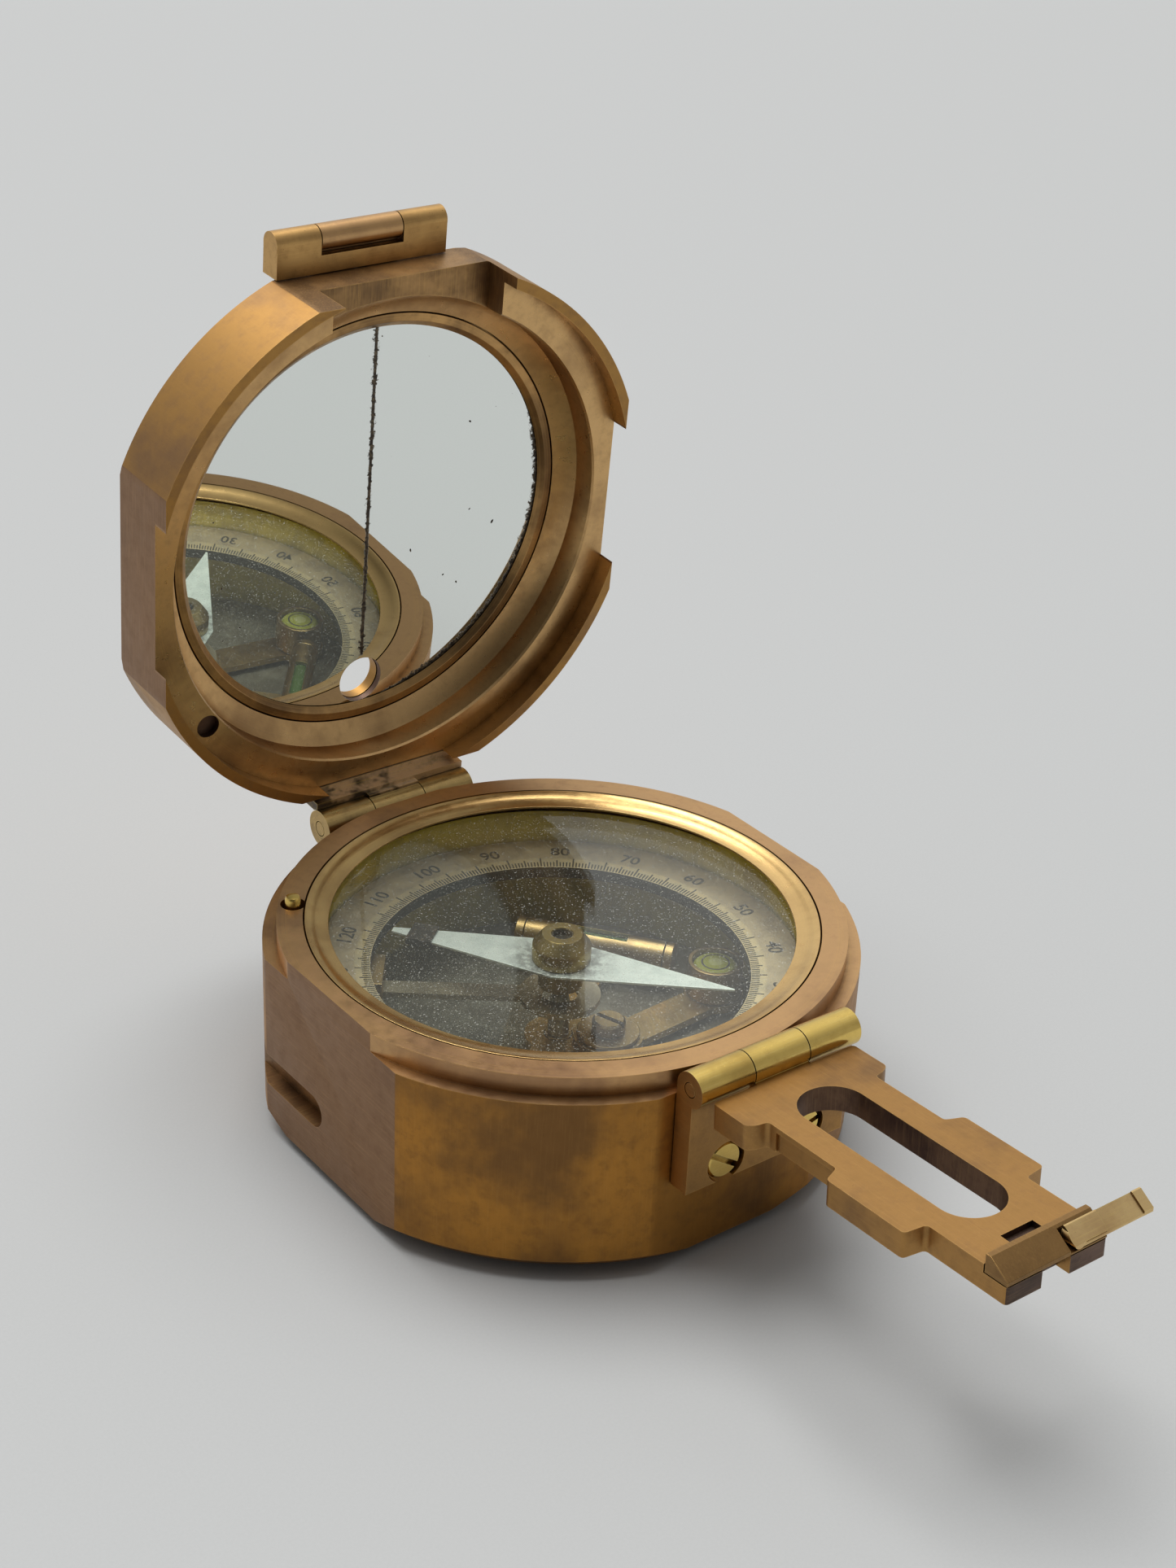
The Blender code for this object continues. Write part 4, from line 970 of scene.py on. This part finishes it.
def slope(end, top, lift):
    """A cutter for what is above the sloping face that the cross piece and the sight share."""
    low, high = end - 1.0, end + 5.0
    face = [(y, top - 0.45 + lift + 0.7 * (y - end)) for y in (low, high)]
    cutter = prism("slope", [*face, (low, top + 6.0)], ARM_X - 20, ARM_X + 20)
    cutter.data.transform(Matrix(((0, 0, 1, 0), (1, 0, 0, 0), (0, 1, 0, 0), (0, 0, 0, 1))))
    return cutter


def make_peep(top):
    end = ARM_Y - 46.3
    mount = box("cross_piece", (ARM_X - 7.5, ARM_X + 7.4), (end, end + 3.35), (top - 0.98, top + 1.4))
    cut(mount, slope(end, top, 0.0))
    x, z = ARM_X + 3.2, top + 0.3
    cut(mount, box("room", (ARM_X + 1.9, ARM_X + 9), (end - 1, end + 2.3), (top - 0.72, top + 3)))
    cut(mount, rod("hole", (x, end + 1.1, z), (x, end + 3.0, z), 0.45, 40))
    # The cross piece takes the darker brass: painted shade.
    place(paint(mount, shaded_mount_metal), "arm", "peep_mount", ARM_PIVOT, -ARM_RAISED, 0.06)

    low, high = x, x + 11.2
    leaf = box("small_sight", (low, high), (end - 0.1, end + 2.1), (top - 0.5, top + 1.4))
    cut(leaf, slope(end, top, 0.3))
    lip = box("lip", (high - 1.4, high + 0.01), (end - 0.11, end + 2.11), (top - 0.51, top + 1.41))
    head = box("head", (low - 0.6, low + 4.2), (end - 0.09, end + 2.09), (top, top + 1.4))
    knuckle = rod("knuckle", (low, end - 0.12, z), (low, end + 2.12, z), 0.9, 64)
    for piece in (lip, head, knuckle):
        join(leaf, cut(piece, slope(end, top, 0.55)))
    cut(leaf, rod("hole", (x, end + 1.1, z), (x, end + 3.4, z), 0.45, 40))

    # The lower stretch between the head and the lip takes the darker arm brass: painted shade in the recess.
    def shaded_middle(p, n):
        return low + 4.2 < p.x < high - 1.35

    paint(leaf, peep_metal, (arm_metal, shaded_middle))
    place(leaf, "peep", "peep_leaf", ARM_PIVOT, -ARM_RAISED, 0.1)
    pin = rod("small_sight_pin", (x, end + 1.2, z), (x, end + 2.9, z), 0.35, 40)
    place(paint(pin, steel), "arm", "peep_pin", ARM_PIVOT, -ARM_RAISED, 0.04)


def make_base():
    plate = disc("foot_plate", 32.5, -3.0, -1.75, 240)
    outline = arc(0, 0, 25.5, 130, 306, 90) + arc(0, 0, 20.5, 306, 130, 90)
    cut(plate, prism("slot", outline, -4, 0))
    place(paint(plate, flat_metal), "case", "base_plate")


# --- Stage ---------------------------------------------------------------------------------------


def make_stage():
    """A pale floor under a soft sky that is brightest high up behind the object, and darkest low in
    front of it, with one wide overhead light.
    """
    half = 3000.0
    corners = [(-half, -half, 0), (half, -half, 0), (half, half, 0), (-half, half, 0)]
    ground = new_object("ground", corners, [[0, 1, 2, 3]])
    paint(ground, pale_floor())

    bpy.context.scene.world = bpy.data.worlds.new("studio")
    g = Graph(bpy.context.scene.world)
    toward = g.node("ShaderNodeTexCoord").outputs["Generated"]
    aside = g.ramp(g.math("ABSOLUTE", g.dot(toward, (0.8, -0.6, 0.0))), 0.35, 1.0)
    horizon = g.mix(aside, (HORIZON_AHEAD,) * 3, (HORIZON_ASIDE,) * 3)
    climb = g.ramp(g.dot(toward, (0.17, 0.54, 0.82)), 0.1, 0.95)
    colour = g.mix(climb, horizon, (1.0, 1.01, 1.02))
    sky = g.node("ShaderNodeBackground", {"Color": colour, "Strength": 0.74}).outputs[0]
    g.node("ShaderNodeOutputWorld", {"Surface": sky})

    sun = bpy.data.lights.new("overhead", "SUN")
    sun.energy = 2.5
    sun.angle = math.radians(48)
    lamp = bpy.data.objects.new("overhead", sun)
    lamp.rotation_euler = Vector((-0.03, 0.32, 1.0)).to_track_quat("Z", "Y").to_euler()
    bpy.context.scene.collection.objects.link(lamp)


def make_camera():
    camera = bpy.data.cameras.new("camera")
    camera.sensor_width = 36.0
    camera.lens = 59.05
    camera.clip_start = 0.01
    obj = bpy.data.objects.new("camera", camera)
    obj.location = Vector((-170.61, -221.64, 195.03 + GROUND)) * MM
    obj.rotation_euler = [math.radians(a) for a in (61.628, -2.345, -36.810)]
    bpy.context.scene.collection.objects.link(obj)
    bpy.context.scene.camera = obj


make_case()
make_base()
make_dial()
make_clinometer()
make_levels()
make_needle()
make_lifter()
make_lid()
make_lid_hinge()
make_arm_bracket()
make_arm()
make_stage()
make_camera()
bpy.context.scene.view_settings.view_transform = "Standard"
